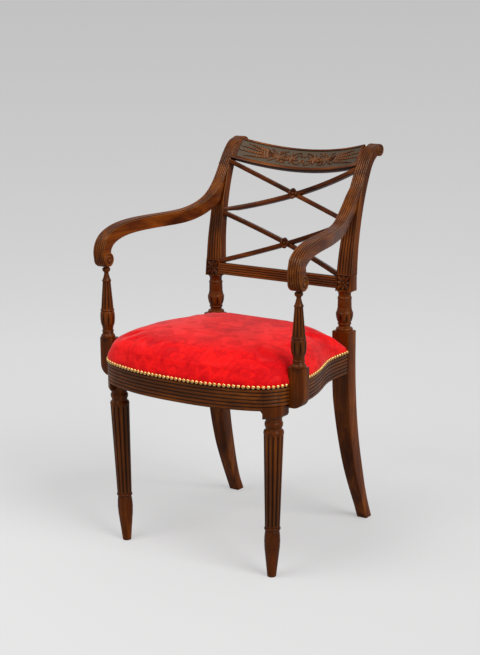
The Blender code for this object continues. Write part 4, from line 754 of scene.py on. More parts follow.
def make_patera_square():
    """The square between turning and stile. Its front holds eight carved leaves in a sunk square field."""
    wide, low = STILE_FOOT_WIDE, TURN_TOP + JOINT_GAP
    high = STILE_START_Z - low
    lean = (STILE_FRONT[1][0] - STILE_FRONT[0][0]) / PATERA_HIGH
    across, up = (np.concatenate([(0.0, 0.0005), np.linspace(PATERA_EASE, size - PATERA_EASE, count),
                                  (size - 0.0005, size)]) for size, count in ((wide, 70), (high, 66)))
    a, u = np.meshgrid(across, up)
    edge = np.minimum(np.minimum(a, wide - a), np.minimum(u, high - u))
    ease = PATERA_EASE * (1 - np.clip(edge / PATERA_EASE, 0, 1)) ** 2
    from_middle = np.maximum(np.abs(a - wide / 2), np.abs(u - high / 2))
    field = smooth(PATERA_HALF + 0.0009, PATERA_HALF, from_middle)
    carved = field * (1 - leaf_star(a - wide / 2, u - high / 2, PATERA_HALF))
    front = grid_of(STILE_OUT_X - a, STILE_FRONT[0][0] + lean * u + ease + PATERA_SUNK * carved, low + u)
    back = grid_of(STILE_OUT_X - a, STILE_BACK[0][0] + 0.0005 - ease, low + u)
    rims = [np.concatenate([face[0], face[1:, -1], face[-1, -2::-1], face[-2:0:-1, 0]])
            for face in (front, back)]
    # The sunk ground round the leaves takes painted shade.
    return [patch(front, carved, around=False, caps=False), patch(np.stack(rims), caps=False),
            patch(back, around=False, caps=False)]


def reeded_face(count, width):
    """Places across a reeded face between its two plain arrises, and the drop below the crests, from 0 to 1.
    Where the width is a column, so are the places.
    """
    place, drop = reeds(count)
    return ARRIS + place * (width - 2 * ARRIS) / count, drop


def volute(eye_y, eye_z, radius, inner_x, outer_x, first, last):
    """A rolled end: the reeded face goes on round an eye from one angle to another, on a radius that
    shrinks a little. Each row is a spoke from the eye to the face, as wide as the piece.
    """
    turn = np.radians(np.linspace(first, last, 60))[:, None]
    reach = radius * np.linspace(1, 0.95, 60)[:, None]
    across, drop = reeded_face(STILE_REEDS, outer_x - inner_x)
    shoulder = STILE_REED_DEPTH + 0.0006
    below = shoulder + WEAR_AND_HIGHLIGHT_LINE
    x = np.concatenate([outer_x - across, (inner_x, inner_x, inner_x, outer_x, outer_x, outer_x)])
    into = np.concatenate([drop * STILE_REED_DEPTH, (shoulder, below, 0.0, 0.0, below, shoulder)])
    spoke = np.concatenate([np.ones(len(across) + 2), (0.0, 0.0, 1.0, 1.0)])
    out = spoke * (reach - into)
    return patch(grid_of(x, eye_y + out * np.cos(turn), eye_z + out * np.sin(turn)),
                 np.concatenate([reed_tone(drop), (ARRIS_TONE, 0.0, 0.0, 0.0, 0.0, ARRIS_TONE)]))


def scroll_side(x, facing, eye_y, eye_z, radius, start):
    """The carved side of a scroll: a thin rim, and a ridge that winds in from it to a button.

    The ridge is a wave over the distance from the eye, shifted by a whole wave in each turn.
    """
    reach = np.concatenate([np.linspace(0.0, 0.93, 44), (0.97, 1.0)])[:, None]
    around = once_round(72)
    wave = reach / 0.46 - ((around - math.radians(start)) % math.tau) / math.tau
    ridge = (0.5 + 0.5 * np.cos(math.tau * wave)) ** 1.6 * smooth(0.24, 0.34, reach)
    rim = smooth(0.80, 0.88, reach) * smooth(0.99, 0.95, reach)
    high = np.maximum(np.maximum(ridge, rim), dome(reach / 0.26))
    out = facing * np.where(reach < 0.99, 0.0001 + 0.0012 * high, -0.0004)
    reach = radius * reach
    # Painted shade in the low places, and wear with a painted highlight on the rim, the ridge and the button.
    return patch(grid_of(x + out, eye_y + reach * np.cos(around), eye_z + reach * np.sin(around)),
                 0.7 - 1.2 * high)


def rolled_scroll(eye_y, eye_z, radius, inner_x, outer_x, first, last, ridge_start):
    """A whole scroll: its rolled face, and a carved side to each hand."""
    sides = [scroll_side(x, facing, eye_y, eye_z, 0.94 * radius, ridge_start)
             for x, facing in ((outer_x, 1), (inner_x, -1))]
    return [volute(eye_y, eye_z, radius, inner_x, outer_x, first, last), *sides]


def stile_rows(front, back, width, depth):
    """Sections of the stile between matching points of its side view's front and back lines."""
    outwards = unit(front - back)
    across, drop = reeded_face(STILE_REEDS, width[:, None])
    face = front[:, None] - outwards[:, None] * (drop * depth[:, None])[..., None]
    arris = front - outwards * (depth + ARRIS)[:, None]
    below = arris - outwards * WEAR_AND_HIGHLIGHT_LINE
    rear = back + outwards * WEAR_AND_HIGHLIGHT_LINE
    sides = np.stack([arris, below, rear, back, back, rear, below, arris], axis=1)
    y, z = np.hstack([face, sides]).transpose(2, 0, 1)
    zero, wide = np.zeros((len(front), 1)), width[:, None]
    inwards = np.hstack([across, wide, wide, wide, wide - WEAR_AND_HIGHLIGHT_LINE, zero + WEAR_AND_HIGHLIGHT_LINE, zero, zero, zero])
    hollow = np.zeros(y.shape)
    hollow[:, :len(drop)] = reed_tone(drop) * (depth / STILE_REED_DEPTH)[:, None]
    hollow[:, len(drop)] = hollow[:, -1] = ARRIS_TONE
    return patch(grid_of(STILE_OUT_X - inwards, y, z), hollow)


def facing_back(front):
    """The points of the stile's back line nearest to points of its front."""
    apart = np.linalg.norm(STILE_BACK_LINE[None] - front[:, None], axis=-1)
    return STILE_BACK_LINE[np.argmin(apart, axis=1)]


def make_stile():
    """The stile's lower length, reeded up to the arm's foot, its upper length, and the scroll on top."""
    front = evenly(STILE_FRONT_LINE[STILE_FRONT_LINE[:, 1] > STILE_START_Z - 0.0002], 90)
    depth = STILE_REED_DEPTH * smooth(ARM_APEX_Z - 0.002, ARM_APEX_Z - 0.006, front[:, 1])
    lower = stile_rows(front, facing_back(front), stile_width(front[:, 1]), depth)
    face = spline(STILE_FACE, 40)
    upper = stile_rows(face, facing_back(face), np.full(40, STILE_TOP_WIDE), np.full(40, STILE_REED_DEPTH))
    start = math.degrees(math.atan2(STILE_FACE[-1][1] - SCROLL_Z, STILE_FACE[-1][0] - SCROLL_Y))
    return [lower, upper, *rolled_scroll(SCROLL_Y, SCROLL_Z, SCROLL_R, STILE_OUT_X - STILE_TOP_WIDE,
                                         STILE_OUT_X, start + 4.0, -190.0, start)]


post_wood = mahogany("mahogany_rear_posts", "Z", (0.8, 0.5, 0.2), warmth=0.03)
post_patches = [make_sabre_leg(), make_post_turning(), *make_patera_square(), *make_stile()]
make_pair("rear_post", "carved", post_patches, post_wood)

# Stay rail, a straight mahogany rail between the carved squares, with five reeds along its front.
# It is tenoned into the posts and leans back with them.
STAY_UP, STAY_HIGH, STAY_DEEP, STAY_EASE, STAY_IN = 0.0056, 0.0256, 0.0170, 0.001, 0.0006
STAY_REEDS, STAY_REED_DEPTH = 5, 0.0015


def make_stay_rail():
    """The rail's section, reeds in front and plain behind, carried straight across."""
    foot, head = np.array(STILE_FRONT[:2])
    rise = (head - foot) / np.linalg.norm(head - foot)
    inward = np.array((rise[1], -rise[0]))
    place, drop = reeds(STAY_REEDS)
    up = np.concatenate([place * STAY_HIGH / STAY_REEDS, (STAY_HIGH, STAY_HIGH - STAY_EASE, STAY_EASE, 0.0)])
    into = np.concatenate([drop * STAY_REED_DEPTH, STAY_DEEP - np.array((STAY_EASE, 0.0, 0.0, STAY_EASE))])
    y, z = (foot + (STAY_UP + up[:, None]) * rise + (STAY_IN + into[:, None]) * inward).T
    end = STILE_OUT_X - STILE_FOOT_WIDE - JOINT_GAP
    return patch(grid_of(np.linspace(-end, end, 60)[:, None], y, z),
                 np.concatenate([reed_tone(drop), np.zeros(4)]))


back_wood = mahogany("mahogany_back_rails", "X", (0.1, 0.9, 0.7), warmth=0.05)
make_piece("stay_rail_reeded", [make_stay_rail()], back_wood, "stay_rail")

# Crest rail, a mahogany tablet bowed and leaning backwards between the stiles. A bead runs along its
# foot and a thin rim round its sunk field, which is carved in low relief with wheat ears and ribbons.
CREST_LOW = np.array((0.2066, 0.7950))
CREST_LEAN, CREST_RISE, CREST_THICK, BACK_BOW = 0.0364, 0.0435, 0.0138, 0.0335
CREST_TALL = math.hypot(CREST_LEAN, CREST_RISE)
CREST_END = STILE_OUT_X - STILE_TOP_WIDE - JOINT_GAP
CREST_BEAD, CREST_BEAD_OUT, CREST_SUNK, CREST_RIM, CREST_END_RIM = 0.0085, 0.0016, 0.0022, 0.0034, 0.0082
# The last colour on the next line is wear with a painted highlight, for the carving's tops.
CREST_GROOVE, CREST_GROOVE_WIDE, CREST_WORN_AND_HIGHLIGHT = 0.0007, 0.0006, (0.240, 0.1700, 0.1000)
# The carving's places are (out from the middle, up from the rail's foot). TIE is where the ribbons cross.
TIE, SECOND_TIE = (0.064, 0.0310), (0.030, 0.0310)
EARS = (((0.088, 0.0415), (0.134, 0.0470)), ((0.087, 0.0365), (0.149, 0.0385)),
        ((0.086, 0.0310), (0.150, 0.0275)), ((0.084, 0.0255), (0.138, 0.0160)))
EAR_GRAINS, GRAIN_LONG, GRAIN_WIDE = 8, 0.0050, 0.0020
RIBBONS = (((0.083, 0.0175), (0.074, 0.0210), TIE, (0.053, 0.0430), (0.041, 0.0465)),
           ((0.081, 0.0470), (0.073, 0.0420), TIE, (0.054, 0.0200), (0.042, 0.0165)),
           ((0.048, 0.0400), (0.040, 0.0370), (0.030, 0.0300), (0.019, 0.0185), (0.006, 0.0160)),
           ((0.048, 0.0220), (0.040, 0.0240), (0.030, 0.0310), (0.020, 0.0430), (0.008, 0.0460)))
RIBBON_WIDTHS = (0.0010, 0.0017, 0.0020, 0.0017, 0.0010)
# Each leaf is its foot, its heading, its length and its half width.
LEAVES = (((0.063, 0.0310), 2.90, 0.0190, 0.0034), ((0.063, 0.0310), -2.80, 0.0180, 0.0034),
          ((0.062, 0.0320), 1.75, 0.0150, 0.0036), ((0.062, 0.0300), -1.75, 0.0150, 0.0036),
          ((0.066, 0.0310), 0.95, 0.0150, 0.0032), ((0.066, 0.0310), -0.90, 0.0150, 0.0032),
          ((0.029, 0.0310), 2.75, 0.0200, 0.0034), ((0.029, 0.0310), -2.85, 0.0200, 0.0034),
          ((0.030, 0.0310), 1.60, 0.0150, 0.0036), ((0.030, 0.0310), -1.60, 0.0150, 0.0036),
          ((0.033, 0.0310), 0.50, 0.0160, 0.0032), ((0.033, 0.0310), -0.45, 0.0160, 0.0032),
          ((0.048, 0.0400), 0.90, 0.0100, 0.0026), ((0.048, 0.0220), -0.90, 0.0095, 0.0026),
          ((0.010, 0.0440), -2.30, 0.0130, 0.0028), ((0.008, 0.0190), 2.20, 0.0130, 0.0028))
FLOWERS, FLOWER_R = (TIE, SECOND_TIE, (0.047, 0.0310)), 0.0054


def turned_to(u, v, foot, heading):
    """Places along a heading from a foot, and aside from it."""
    across, up = u - foot[0], v - foot[1]
    return (across * math.cos(heading) + up * math.sin(heading),
            up * math.cos(heading) - across * math.sin(heading))


def grain_of_wheat(u, v, spot, heading, long, wide):
    """The relief of one grain: half an ellipsoid about a spot, its long way at a heading."""
    along, aside = turned_to(u, v, spot, heading)
    return dome(np.hypot(along / long, aside / wide))


def stem(u, v, points, widths):
    """The relief of a stem or ribbon, round in section, on a spline with half widths along it."""
    line = spline(points, 40)
    half = np.interp(np.linspace(0, 1, 40), np.linspace(0, 1, len(widths)), widths)
    apart = np.hypot(u[..., None] - line[:, 0], v[..., None] - line[:, 1]) / half
    return dome(apart.min(axis=-1))


def leaf(u, v, foot, heading, long, wide):
    """The relief of a pointed leaf with a sunk rib: highest beside the rib, falling to its edges."""
    along, aside = turned_to(u, v, foot, heading)
    along = np.clip(along / long, 0, 1)
    share = np.abs(aside) / (wide * np.sin(math.pi * along ** 0.8) + 1e-6)
    return dome(share) * (0.55 + 0.45 * smooth(0.0, 0.25, share)) * (along > 0)


def wheat_ear(u, v, foot, tip):
    """The relief of an ear of wheat: two rows of plump grains on a core, pointed at its end."""
    foot, tip = np.array(foot), np.array(tip)
    way = (tip - foot) / np.linalg.norm(tip - foot)
    out, heading = np.array((-way[1], way[0])), math.atan2(way[1], way[0])
    relief = 0.75 * stem(u, v, (foot, (foot + tip) / 2, tip), (0.0018, 0.0016, 0.0007))
    for i in range(EAR_GRAINS):
        middle = foot + (tip - foot) * (0.04 + 0.108 * i)
        size = 1 - 0.07 * i
        for hand in (-1, 1):
            grain = grain_of_wheat(u, v, middle + out * hand * 0.0018 * size, heading + hand * 0.34,
                                   GRAIN_LONG * size, GRAIN_WIDE * size)
            relief = np.maximum(relief, grain)
    return np.maximum(relief, grain_of_wheat(u, v, tip - way * 0.003, heading, 0.0055, 0.0014))


def crest_carving(u, v):
    """The whole relief above the sunk field, from 0 to 1, the same to both sides of the middle: four ears,
    their stalks tied with ribbons that cross each other twice among pointed leaves and small flowers.
    """
    side = np.abs(u)
    reliefs = []
    for foot, tip in EARS:
        bend = (0.076, TIE[1] + 0.45 * (foot[1] - TIE[1]))
        reliefs += [0.8 * stem(side, v, (TIE, bend, foot), (0.0011, 0.0012, 0.0012)),
                    wheat_ear(side, v, foot, tip)]
    reliefs += [0.8 * stem(side, v, points, RIBBON_WIDTHS) for points in RIBBONS]
    reliefs += [leaf(side, v, *sizes) for sizes in LEAVES]
    reliefs += [petals(side - x, v - y, count=5, radius=FLOWER_R, eye=0.40) for x, y in FLOWERS]
    return np.max(reliefs, axis=0)


def make_crest_rail():
    """Rows along the rail, columns up its face and down its back, bowed by the square of the way out."""
    x = np.linspace(-CREST_END, CREST_END, 620)
    up = np.concatenate([np.linspace(0, CREST_BEAD, 12),
                         np.linspace(CREST_BEAD + 0.0003, CREST_TALL - 0.0002, 112)])
    u, v = np.meshgrid(x, up, indexing="ij")
    from_end, from_top, over_bead = CREST_END - np.abs(u), CREST_TALL - v, v > CREST_BEAD
    bead = CREST_BEAD_OUT * dome(2 * v / CREST_BEAD - 1) * (v < CREST_BEAD)
    inside = smooth(CREST_BEAD + 0.0006, CREST_BEAD + 0.0014, v)
    inside = inside * smooth(CREST_RIM, CREST_RIM + 0.0008, from_top)
    inside = inside * smooth(CREST_END_RIM - 0.0004, CREST_END_RIM + 0.0004, from_end)
    groove = sum(np.exp(-((from_edge - rim) / CREST_GROOVE_WIDE) ** 2)
                 for from_edge, rim in ((from_top, CREST_RIM), (from_end, CREST_END_RIM)))
    groove = np.clip(groove, 0, 1) * over_bead
    raised = np.clip(crest_carving(u, v) * inside, 0, None)
    tooled = 0.00012 * np.sin(u * 2900 + 2 * np.sin(v * 2100)) * np.sin(v * 3100 + 2 * np.sin(u * 1900))
    sunk = inside * (CREST_SUNK + tooled) - raised * CREST_SUNK - bead + CREST_GROOVE * groove
    # The tone paints light and shade: dust with a painted grey sheen on the sunk field, painted shade round
    # the relief's edges, wear with a painted highlight on its tops, painted shade in the groove inside the
    # rim, and a painted shadow under the bead.
    tone = np.interp(raised, (0.0, 0.08, 0.20, 0.45, 0.75, 1.0), (1.40, 1.00, 0.80, 0.35, 0.0, -0.75))
    hollow = inside * tone + 0.8 * groove + 0.8 * smooth(0.45, 0.20, v / CREST_BEAD)
    rear_up = (CREST_TALL + 0.0012, CREST_TALL + 0.0020, CREST_TALL + 0.0005, CREST_TALL - 0.005,
               0.5 * CREST_TALL, 0.0040, 0.0015, 0.0)
    rear_in = (0.0008, 0.0045, 0.0090, CREST_THICK + 0.001, CREST_THICK, CREST_THICK - 0.002,
               CREST_THICK - 0.003, CREST_THICK - 0.006)
    up, into, hollow = (np.hstack([front, np.tile(rear, (len(x), 1))])
                        for front, rear in ((v, rear_up), (sunk, rear_in), (hollow, np.zeros(8))))
    into = into + BACK_BOW * (1 - (x / CREST_END) ** 2)[:, None]
    lean, rise = CREST_LEAN / CREST_TALL, CREST_RISE / CREST_TALL
    return patch(grid_of(x[:, None], CREST_LOW[0] + up * lean + into * rise,
                         CREST_LOW[1] + up * rise - into * lean), hollow)


crest_wood = mahogany("mahogany_crest_rail", "X", (0.5, 0.3, 0.9), warmth=0.04, wear_and_highlight_colour=CREST_WORN_AND_HIGHLIGHT)
make_piece("crest_rail_carved", [make_crest_rail()], crest_wood, "crest_rail")

# Crossed bars, two pairs of slim mahogany bars bowed backwards, halved together where they cross and
# tenoned into the stiles. A small carved flower is planted on the front of each crossing.
BAR_HIGH, BAR_DEEP, BAR_EASE, BARS_MEET_Z = 0.0100, 0.0140, 0.0022, 0.6797
# Each pair's head and foot as (Y, Z), how far it bows back and down, and the heights it stays between.
BAR_PAIRS = {"upper": ((CREST_LOW[0] - 0.0056, CREST_LOW[1] - 0.0060), (0.1680, BARS_MEET_Z + 0.0037),
                       0.0320, 0.0120, BARS_MEET_Z + 0.0003, CREST_LOW[1]),
             "lower": ((0.1655, BARS_MEET_Z - 0.0029), (0.1440, 0.5712),
                       0.0282, 0.0055, TURN_TOP + STAY_UP + STAY_HIGH + 0.0005, BARS_MEET_Z - 0.0003)}
ROSETTE_R, ROSETTE_THICK = 0.0113, 0.0045


def bar_end(z):
    """Where a bar ends at a height of the stile, out from the middle."""
    return STILE_OUT_X - stile_width(z) - JOINT_GAP


def make_bar(top, foot, back, down, floor, ceiling):
    """A bar that falls from the left stile to the right one: an eased rectangle on a line bowed by the
    square of the way out, its ends cut to the stiles. Gives its middle and its way into the back too.
    """
    share = np.linspace(-1, 1, 81)
    way, bowed = (share + 1) / 2, 1 - share ** 2
    left, right = bar_end(top[1]), bar_end(foot[1])
    line = np.stack([-left + way * (left + right), top[0] + way * (foot[0] - top[0]) + back * bowed,
                     top[1] + way * (foot[1] - top[1]) - down * bowed], axis=-1)
    lean = math.atan2(top[0] - foot[0], top[1] - foot[1])
    into = np.array((0.0, math.cos(lean), -math.sin(lean)))
    up = unit(np.cross(into, directions(line)))
    up *= np.sign(up[:, 2:])
    high, deep = eased_section(BAR_HIGH, BAR_DEEP, BAR_EASE, 6)
    grid = line[:, None] + high[:, None] * up[:, None] + (deep[:, None] + BAR_DEEP / 2) * into
    grid[..., 2] = np.clip(grid[..., 2], floor, ceiling)
    grid[0, :, 0], grid[-1, :, 0] = -bar_end(grid[0, :, 2]), bar_end(grid[-1, :, 2])
    return grid, line[len(line) // 2], into, lean


def make_rosette(spot, into, lean):
    """A round boss of four petals about a button: its relief stands out from the crossing's front."""
    reach = np.concatenate([np.linspace(0, 1, 30), (1.0,)])[:, None]
    around = once_round(72)
    edge = ROSETTE_R * (1 + 0.08 * np.cos(4 * around))
    across, rise = reach * edge * np.cos(around), reach * edge * np.sin(around)
    relief = petals(across * 0.92, rise * 0.92, count=4, radius=ROSETTE_R, eye=0.34)
    out = 0.0002 + ROSETTE_THICK * (0.35 + 0.65 * relief) * np.append(np.ones(30), 0.0)[:, None]
    up = np.array((0.0, math.sin(lean), math.cos(lean)))
    grid = spot + across[..., None] * (1.0, 0.0, 0.0) + rise[..., None] * up - out[..., None] * into
    # Painted shade between the petals, and a little wear with a painted highlight on their tops.
    return patch(grid, 0.6 - 0.7 * relief)


bar_wood = mahogany("mahogany_bars", "X", (0.9, 0.1, 0.3), warmth=-0.05)
for level, sizes in BAR_PAIRS.items():
    grid, spot, into, lean = make_bar(*sizes)
    for name, side in (("falling", 1), ("rising", -1)):
        node = "%s_bar_%s" % (level, name)
        make_piece(node + "_eased", [patch(grid)], bar_wood, node, side=side)
    make_piece(level + "_rosette_carved", [make_rosette(spot, into, lean)], bar_wood, level + "_rosette",
               crease=60.0)

# Arms in mahogany, swept from a long scarf on the front of each stile, outwards and level over the
# seat, and down into a scroll over the support. Five reeds run over the whole face and round the scroll.
BLOCK_Y, BLOCK_DEEP, BLOCK_IN_X, BLOCK_WIDE = -0.1440, 0.0250, WIDE_X - 0.0060, 0.0342
BLOCK_BOTTOM, BLOCK_HIGH, BLOCK_ROUND = RAIL_BOTTOM + 0.0005, 0.0830, 0.024
SUPPORT_X, SUPPORT_Y = BLOCK_IN_X + 0.0186, BLOCK_Y - 0.0034
ARM_OUT_X = SUPPORT_X + 0.0153
# The outer edge of the arm's face: the share of the way from stile to support in X, then Y and Z.
ARM_EDGE = ((-0.002, 0.1980, 0.7848), (-0.002, 0.1940, 0.7785), (-0.003, 0.1803, 0.7582),
            (-0.012, 0.1696, 0.7458), (-0.003, 0.1562, 0.7315), (0.023, 0.1424, 0.7196),
            (0.072, 0.1276, 0.7102), (0.255, 0.0854, 0.6955), (0.488, 0.0314, 0.6908),
            (0.700, -0.0218, 0.6895), (0.840, -0.0800, 0.6868), (0.935, -0.1340, 0.6750),
            (0.978, -0.1600, 0.6580), (0.995, -0.1716, 0.6340), (0.999, -0.1714, 0.6175),
            (1.000, -0.1657, 0.6033), (1.000, -0.1560, 0.5955))
ARM_DEEP, ARM_EASE = 0.0285, 0.0022
ARM_WIDTHS = (0.0270, 0.0241, 0.0226, 0.0280, 0.0280)
ARM_EYE_Y, ARM_EYE_Z, ARM_EYE_R = -0.1525, 0.6112, 0.0163


def arm_depth(points, up):
    """The arm's depth under its face: full, up to the stile's front where they meet, and to near the
    eye of the scroll round it.
    """
    depths = np.linspace(0.0, ARM_DEEP, 240)
    y = points[:, 1:2] - depths * up[:, 1:2]
    z = points[:, 2:3] - depths * up[:, 2:3]
    limit = np.interp(z, STILE_FRONT_LINE[:, 1], STILE_FRONT_LINE[:, 0]) - 0.0005
    beyond = (y > limit) & (z > ARM_APEX_Z - 0.03)
    deep = np.where(beyond.any(axis=1), depths[np.argmax(beyond, axis=1)], ARM_DEEP)
    round_eye = (points[:, 2] < ARM_EYE_Z + 0.012) & (points[:, 1] < ARM_EYE_Y)
    apart = np.hypot(points[:, 1] - ARM_EYE_Y, points[:, 2] - ARM_EYE_Z)
    return np.where(round_eye, 0.8 * apart, deep)


def make_arm():
    """The reeded section carried along the outer edge of the face, and the scroll that ends it."""
    edge = spline([(STILE_OUT_X + out * (ARM_OUT_X - STILE_OUT_X), y, z) for out, y, z in ARM_EDGE], 170)
    along = directions(edge)
    width = np.interp(np.linspace(0, 1, len(edge)), (0, 0.2, 0.5, 0.85, 1), ARM_WIDTHS)
    side = unit(np.stack([along[:, 1], -along[:, 0], np.zeros(len(edge))], axis=-1))
    side *= np.where(side[:, :1] < 0, -1, 1)
    steep = smooth(0.72, 0.92, np.abs(along[:, 2]))[:, None]
    side = unit(side * (1 - steep) + np.array((1.0, 0.0, 0.0)) * steep)
    up = unit(np.cross(along, side))
    deep, wide, zero = arm_depth(edge, up)[:, None], width[:, None], np.zeros((len(edge), 1))
    places, drop = reeded_face(STILE_REEDS, wide)
    shoulder, ease = zero + STILE_REED_DEPTH + ARRIS, np.minimum(ARM_EASE, 0.4 * deep)
    below = np.clip(deep - ease, shoulder, shoulder + WEAR_AND_HIGHLIGHT_LINE)
    across = np.hstack([places, wide, wide, wide, wide - 0.3 * ease, wide - ease, ease, 0.3 * ease,
                        zero, zero, zero])
    down = np.hstack([zero + drop * STILE_REED_DEPTH, shoulder, below, deep - ease, deep - 0.3 * ease, deep,
                      deep, deep - 0.3 * ease, deep - ease, below, shoulder])
    grid = edge[:, None] - side[:, None] * across[..., None] - up[:, None] * down[..., None]
    sweep = patch(grid, np.concatenate([reed_tone(drop), (ARRIS_TONE,), np.zeros(8), (ARRIS_TONE,)]))
    start = math.degrees(math.atan2(ARM_EDGE[-1][2] - ARM_EYE_Z, ARM_EDGE[-1][1] - ARM_EYE_Y))
    return [sweep, *rolled_scroll(ARM_EYE_Y, ARM_EYE_Z, ARM_EYE_R, ARM_OUT_X - ARM_WIDTHS[-1], ARM_OUT_X,
                                  start - 60.0, start + 190.0, 60.0)]


arm_wood = mahogany("mahogany_arms", "Y", (0.4, 0.7, 0.6), warmth=0.08)
make_pair("arm", "reeded", make_arm(), arm_wood)

# Arm supports in mahogany: a block housed in the side rail and screwed from inside, with a turned
# length above it: ring, lobed belly, a taper with ten reeds, a pinch and a bead under the arm.
SUPPORT_REEDS, SUPPORT_REED_DEPTH = 10, 0.0013
TAPER_LOW, TAPER_HIGH, TAPER_LOW_R, TAPER_HIGH_R, TAPER_MIDDLE_R = 0.5040, 0.5630, 0.0134, 0.0086, 0.0120


def make_support_block():
    """The block's front outline, rounded under at its outer foot, carried back with eased edges."""
    turn = np.linspace(0, math.pi / 2, 14)
    right, low, high = BLOCK_IN_X + BLOCK_WIDE, BLOCK_BOTTOM, BLOCK_BOTTOM + BLOCK_HIGH
    x = np.concatenate([(BLOCK_IN_X, BLOCK_IN_X), right - BLOCK_ROUND * (1 - np.sin(turn)), (right,)])
    z = np.concatenate([(high, low), low + BLOCK_ROUND * (1 - np.cos(turn)), (high,)])
    y = BLOCK_Y + BLOCK_DEEP * np.array((-0.5, -0.485, -0.44, 0.44, 0.485, 0.5))[:, None]
    inset = np.array((0.0012, 0.0004, 0.0, 0.0, 0.0004, 0.0012))[:, None]
    middle_x, middle_z = (BLOCK_IN_X + right) / 2, (low + high) / 2
    return patch(grid_of(middle_x + (x - middle_x) * (1 - inset / (BLOCK_WIDE / 2)), y,
                         middle_z + (z - middle_z) * (1 - inset / (BLOCK_HIGH / 2))))


def make_support_turning():
    """The turned length: lobes on the belly, and reeds on the taper between two rings."""
    axis, base = (SUPPORT_X, SUPPORT_Y), BLOCK_BOTTOM + BLOCK_HIGH
    belly = moulding((base - 0.0005, 0.0140), (base + 0.0060, 0.0138, 0.0013, 8),
                     (base + 0.0108, 0.0118, -0.0006, 6), (base + 0.0122, 0.0112, 0.0, 1),
                     (base + 0.0166, 0.0110, 0.0015, 7), (base + 0.0176, 0.0110, 0.0, 1),
                     (0.4680, 0.0126, 0.0, 4), (0.4992, 0.0134, 0.0027, 22), (0.4999, 0.0132, 0.0, 1),
                     (0.5034, 0.0134, 0.0015, 8), (TAPER_LOW, TAPER_LOW_R, 0.0, 1))
    head = moulding((TAPER_HIGH, TAPER_HIGH_R), (0.5672, 0.0086, 0.0011, 8), (0.5682, 0.0082, 0.0, 1),
                    (0.5818, 0.0047, -0.0004, 8), (0.5838, 0.0052, 0.0, 2), (0.5928, 0.0066, 0.0026, 10),
                    (0.5943, 0.0050, 0.0, 2))
    ends = np.linspace(0, 0.004, 8)
    z = np.concatenate([TAPER_LOW + ends, np.linspace(TAPER_LOW + 0.008, TAPER_HIGH - 0.008, 16),
                        TAPER_HIGH - ends[::-1]])
    radius = np.interp(z, (TAPER_LOW, TAPER_HIGH), (TAPER_LOW_R, TAPER_HIGH_R))
    place, drop = reeds(SUPPORT_REEDS, closed=True)
    inside = smooth(TAPER_LOW, TAPER_LOW + 0.0016, z) * smooth(TAPER_HIGH, TAPER_HIGH - 0.0020, z)
    cut = SUPPORT_REED_DEPTH * (inside * radius / TAPER_MIDDLE_R)[:, None] * drop
    taper = turning(axis, z, radius, math.tau * place / SUPPORT_REEDS, cut)
    return [lobed_turning(axis, belly, belly_low=0.4650, belly_high=0.4990, depth=0.0016),
            patch(taper, inside[:, None] * reed_tone(drop)), patch(turning(axis, *head))]


support_wood = mahogany("mahogany_arm_supports", "Z", (0.6, 0.8, 0.5), warmth=0.02)
make_pair("arm_support", "turned", [make_support_block(), *make_support_turning()], support_wood)

# Stuffed seat: horsehair and linen over the webbing, in a cover of red silk damask that is drawn down
# over a soft front roll and close-nailed on the rails' rebate. It is cut round the posts and blocks.
# Heights of the cover's upright side and its crown over the reeds, and how far the roll lies in.
SEAT_SIDE, SEAT_CROWN, SEAT_ROLL, SEAT_MIDDLE_Y = 0.0276, 0.0725, 0.0320, 0.0118
SEAT_ROLL_SHARE, SEAT_FULLNESS, SEAT_TUCK, SEAT_ROOM = 0.796, 3.2, 0.010, 0.0005
UNDER_SEAT, OVER_SEAT = RAIL_TOP + 0.0030, 0.60
# The simulation: its mesh, push and frames, how far a point may move, and the share it starts inside.
SEAT_VOXEL, SEAT_PRESSURE, SEAT_FRAMES, SEAT_CAP, SEAT_START_IN = 0.0050, 4.0, 20, 0.0050, 0.7
SEAT_HELD, SEAT_FREE_FROM, SEAT_FREE_TO = REEDS_TOP + 0.0090, REEDS_TOP + 0.0100, REEDS_TOP + 0.0360
SEAT_CREASE = 60.0
# The damask's colours, the width and height of its repeat, and its threads.
RED_DEEP, RED_BRIGHT, RED_PALE = (0.56, 0.0006, 0.0045), (1.0, 0.0070, 0.0060), (1.0, 0.45, 0.46)
REPEAT_WIDE, REPEAT_TALL, CROWN_Z = 0.170, 0.210, REEDS_TOP + 0.045
WARP_THREADS, WEFT_THREADS = math.tau / 0.0011, math.tau / 0.0009
PETAL_LINES, VEIN_LINES = 9, 5


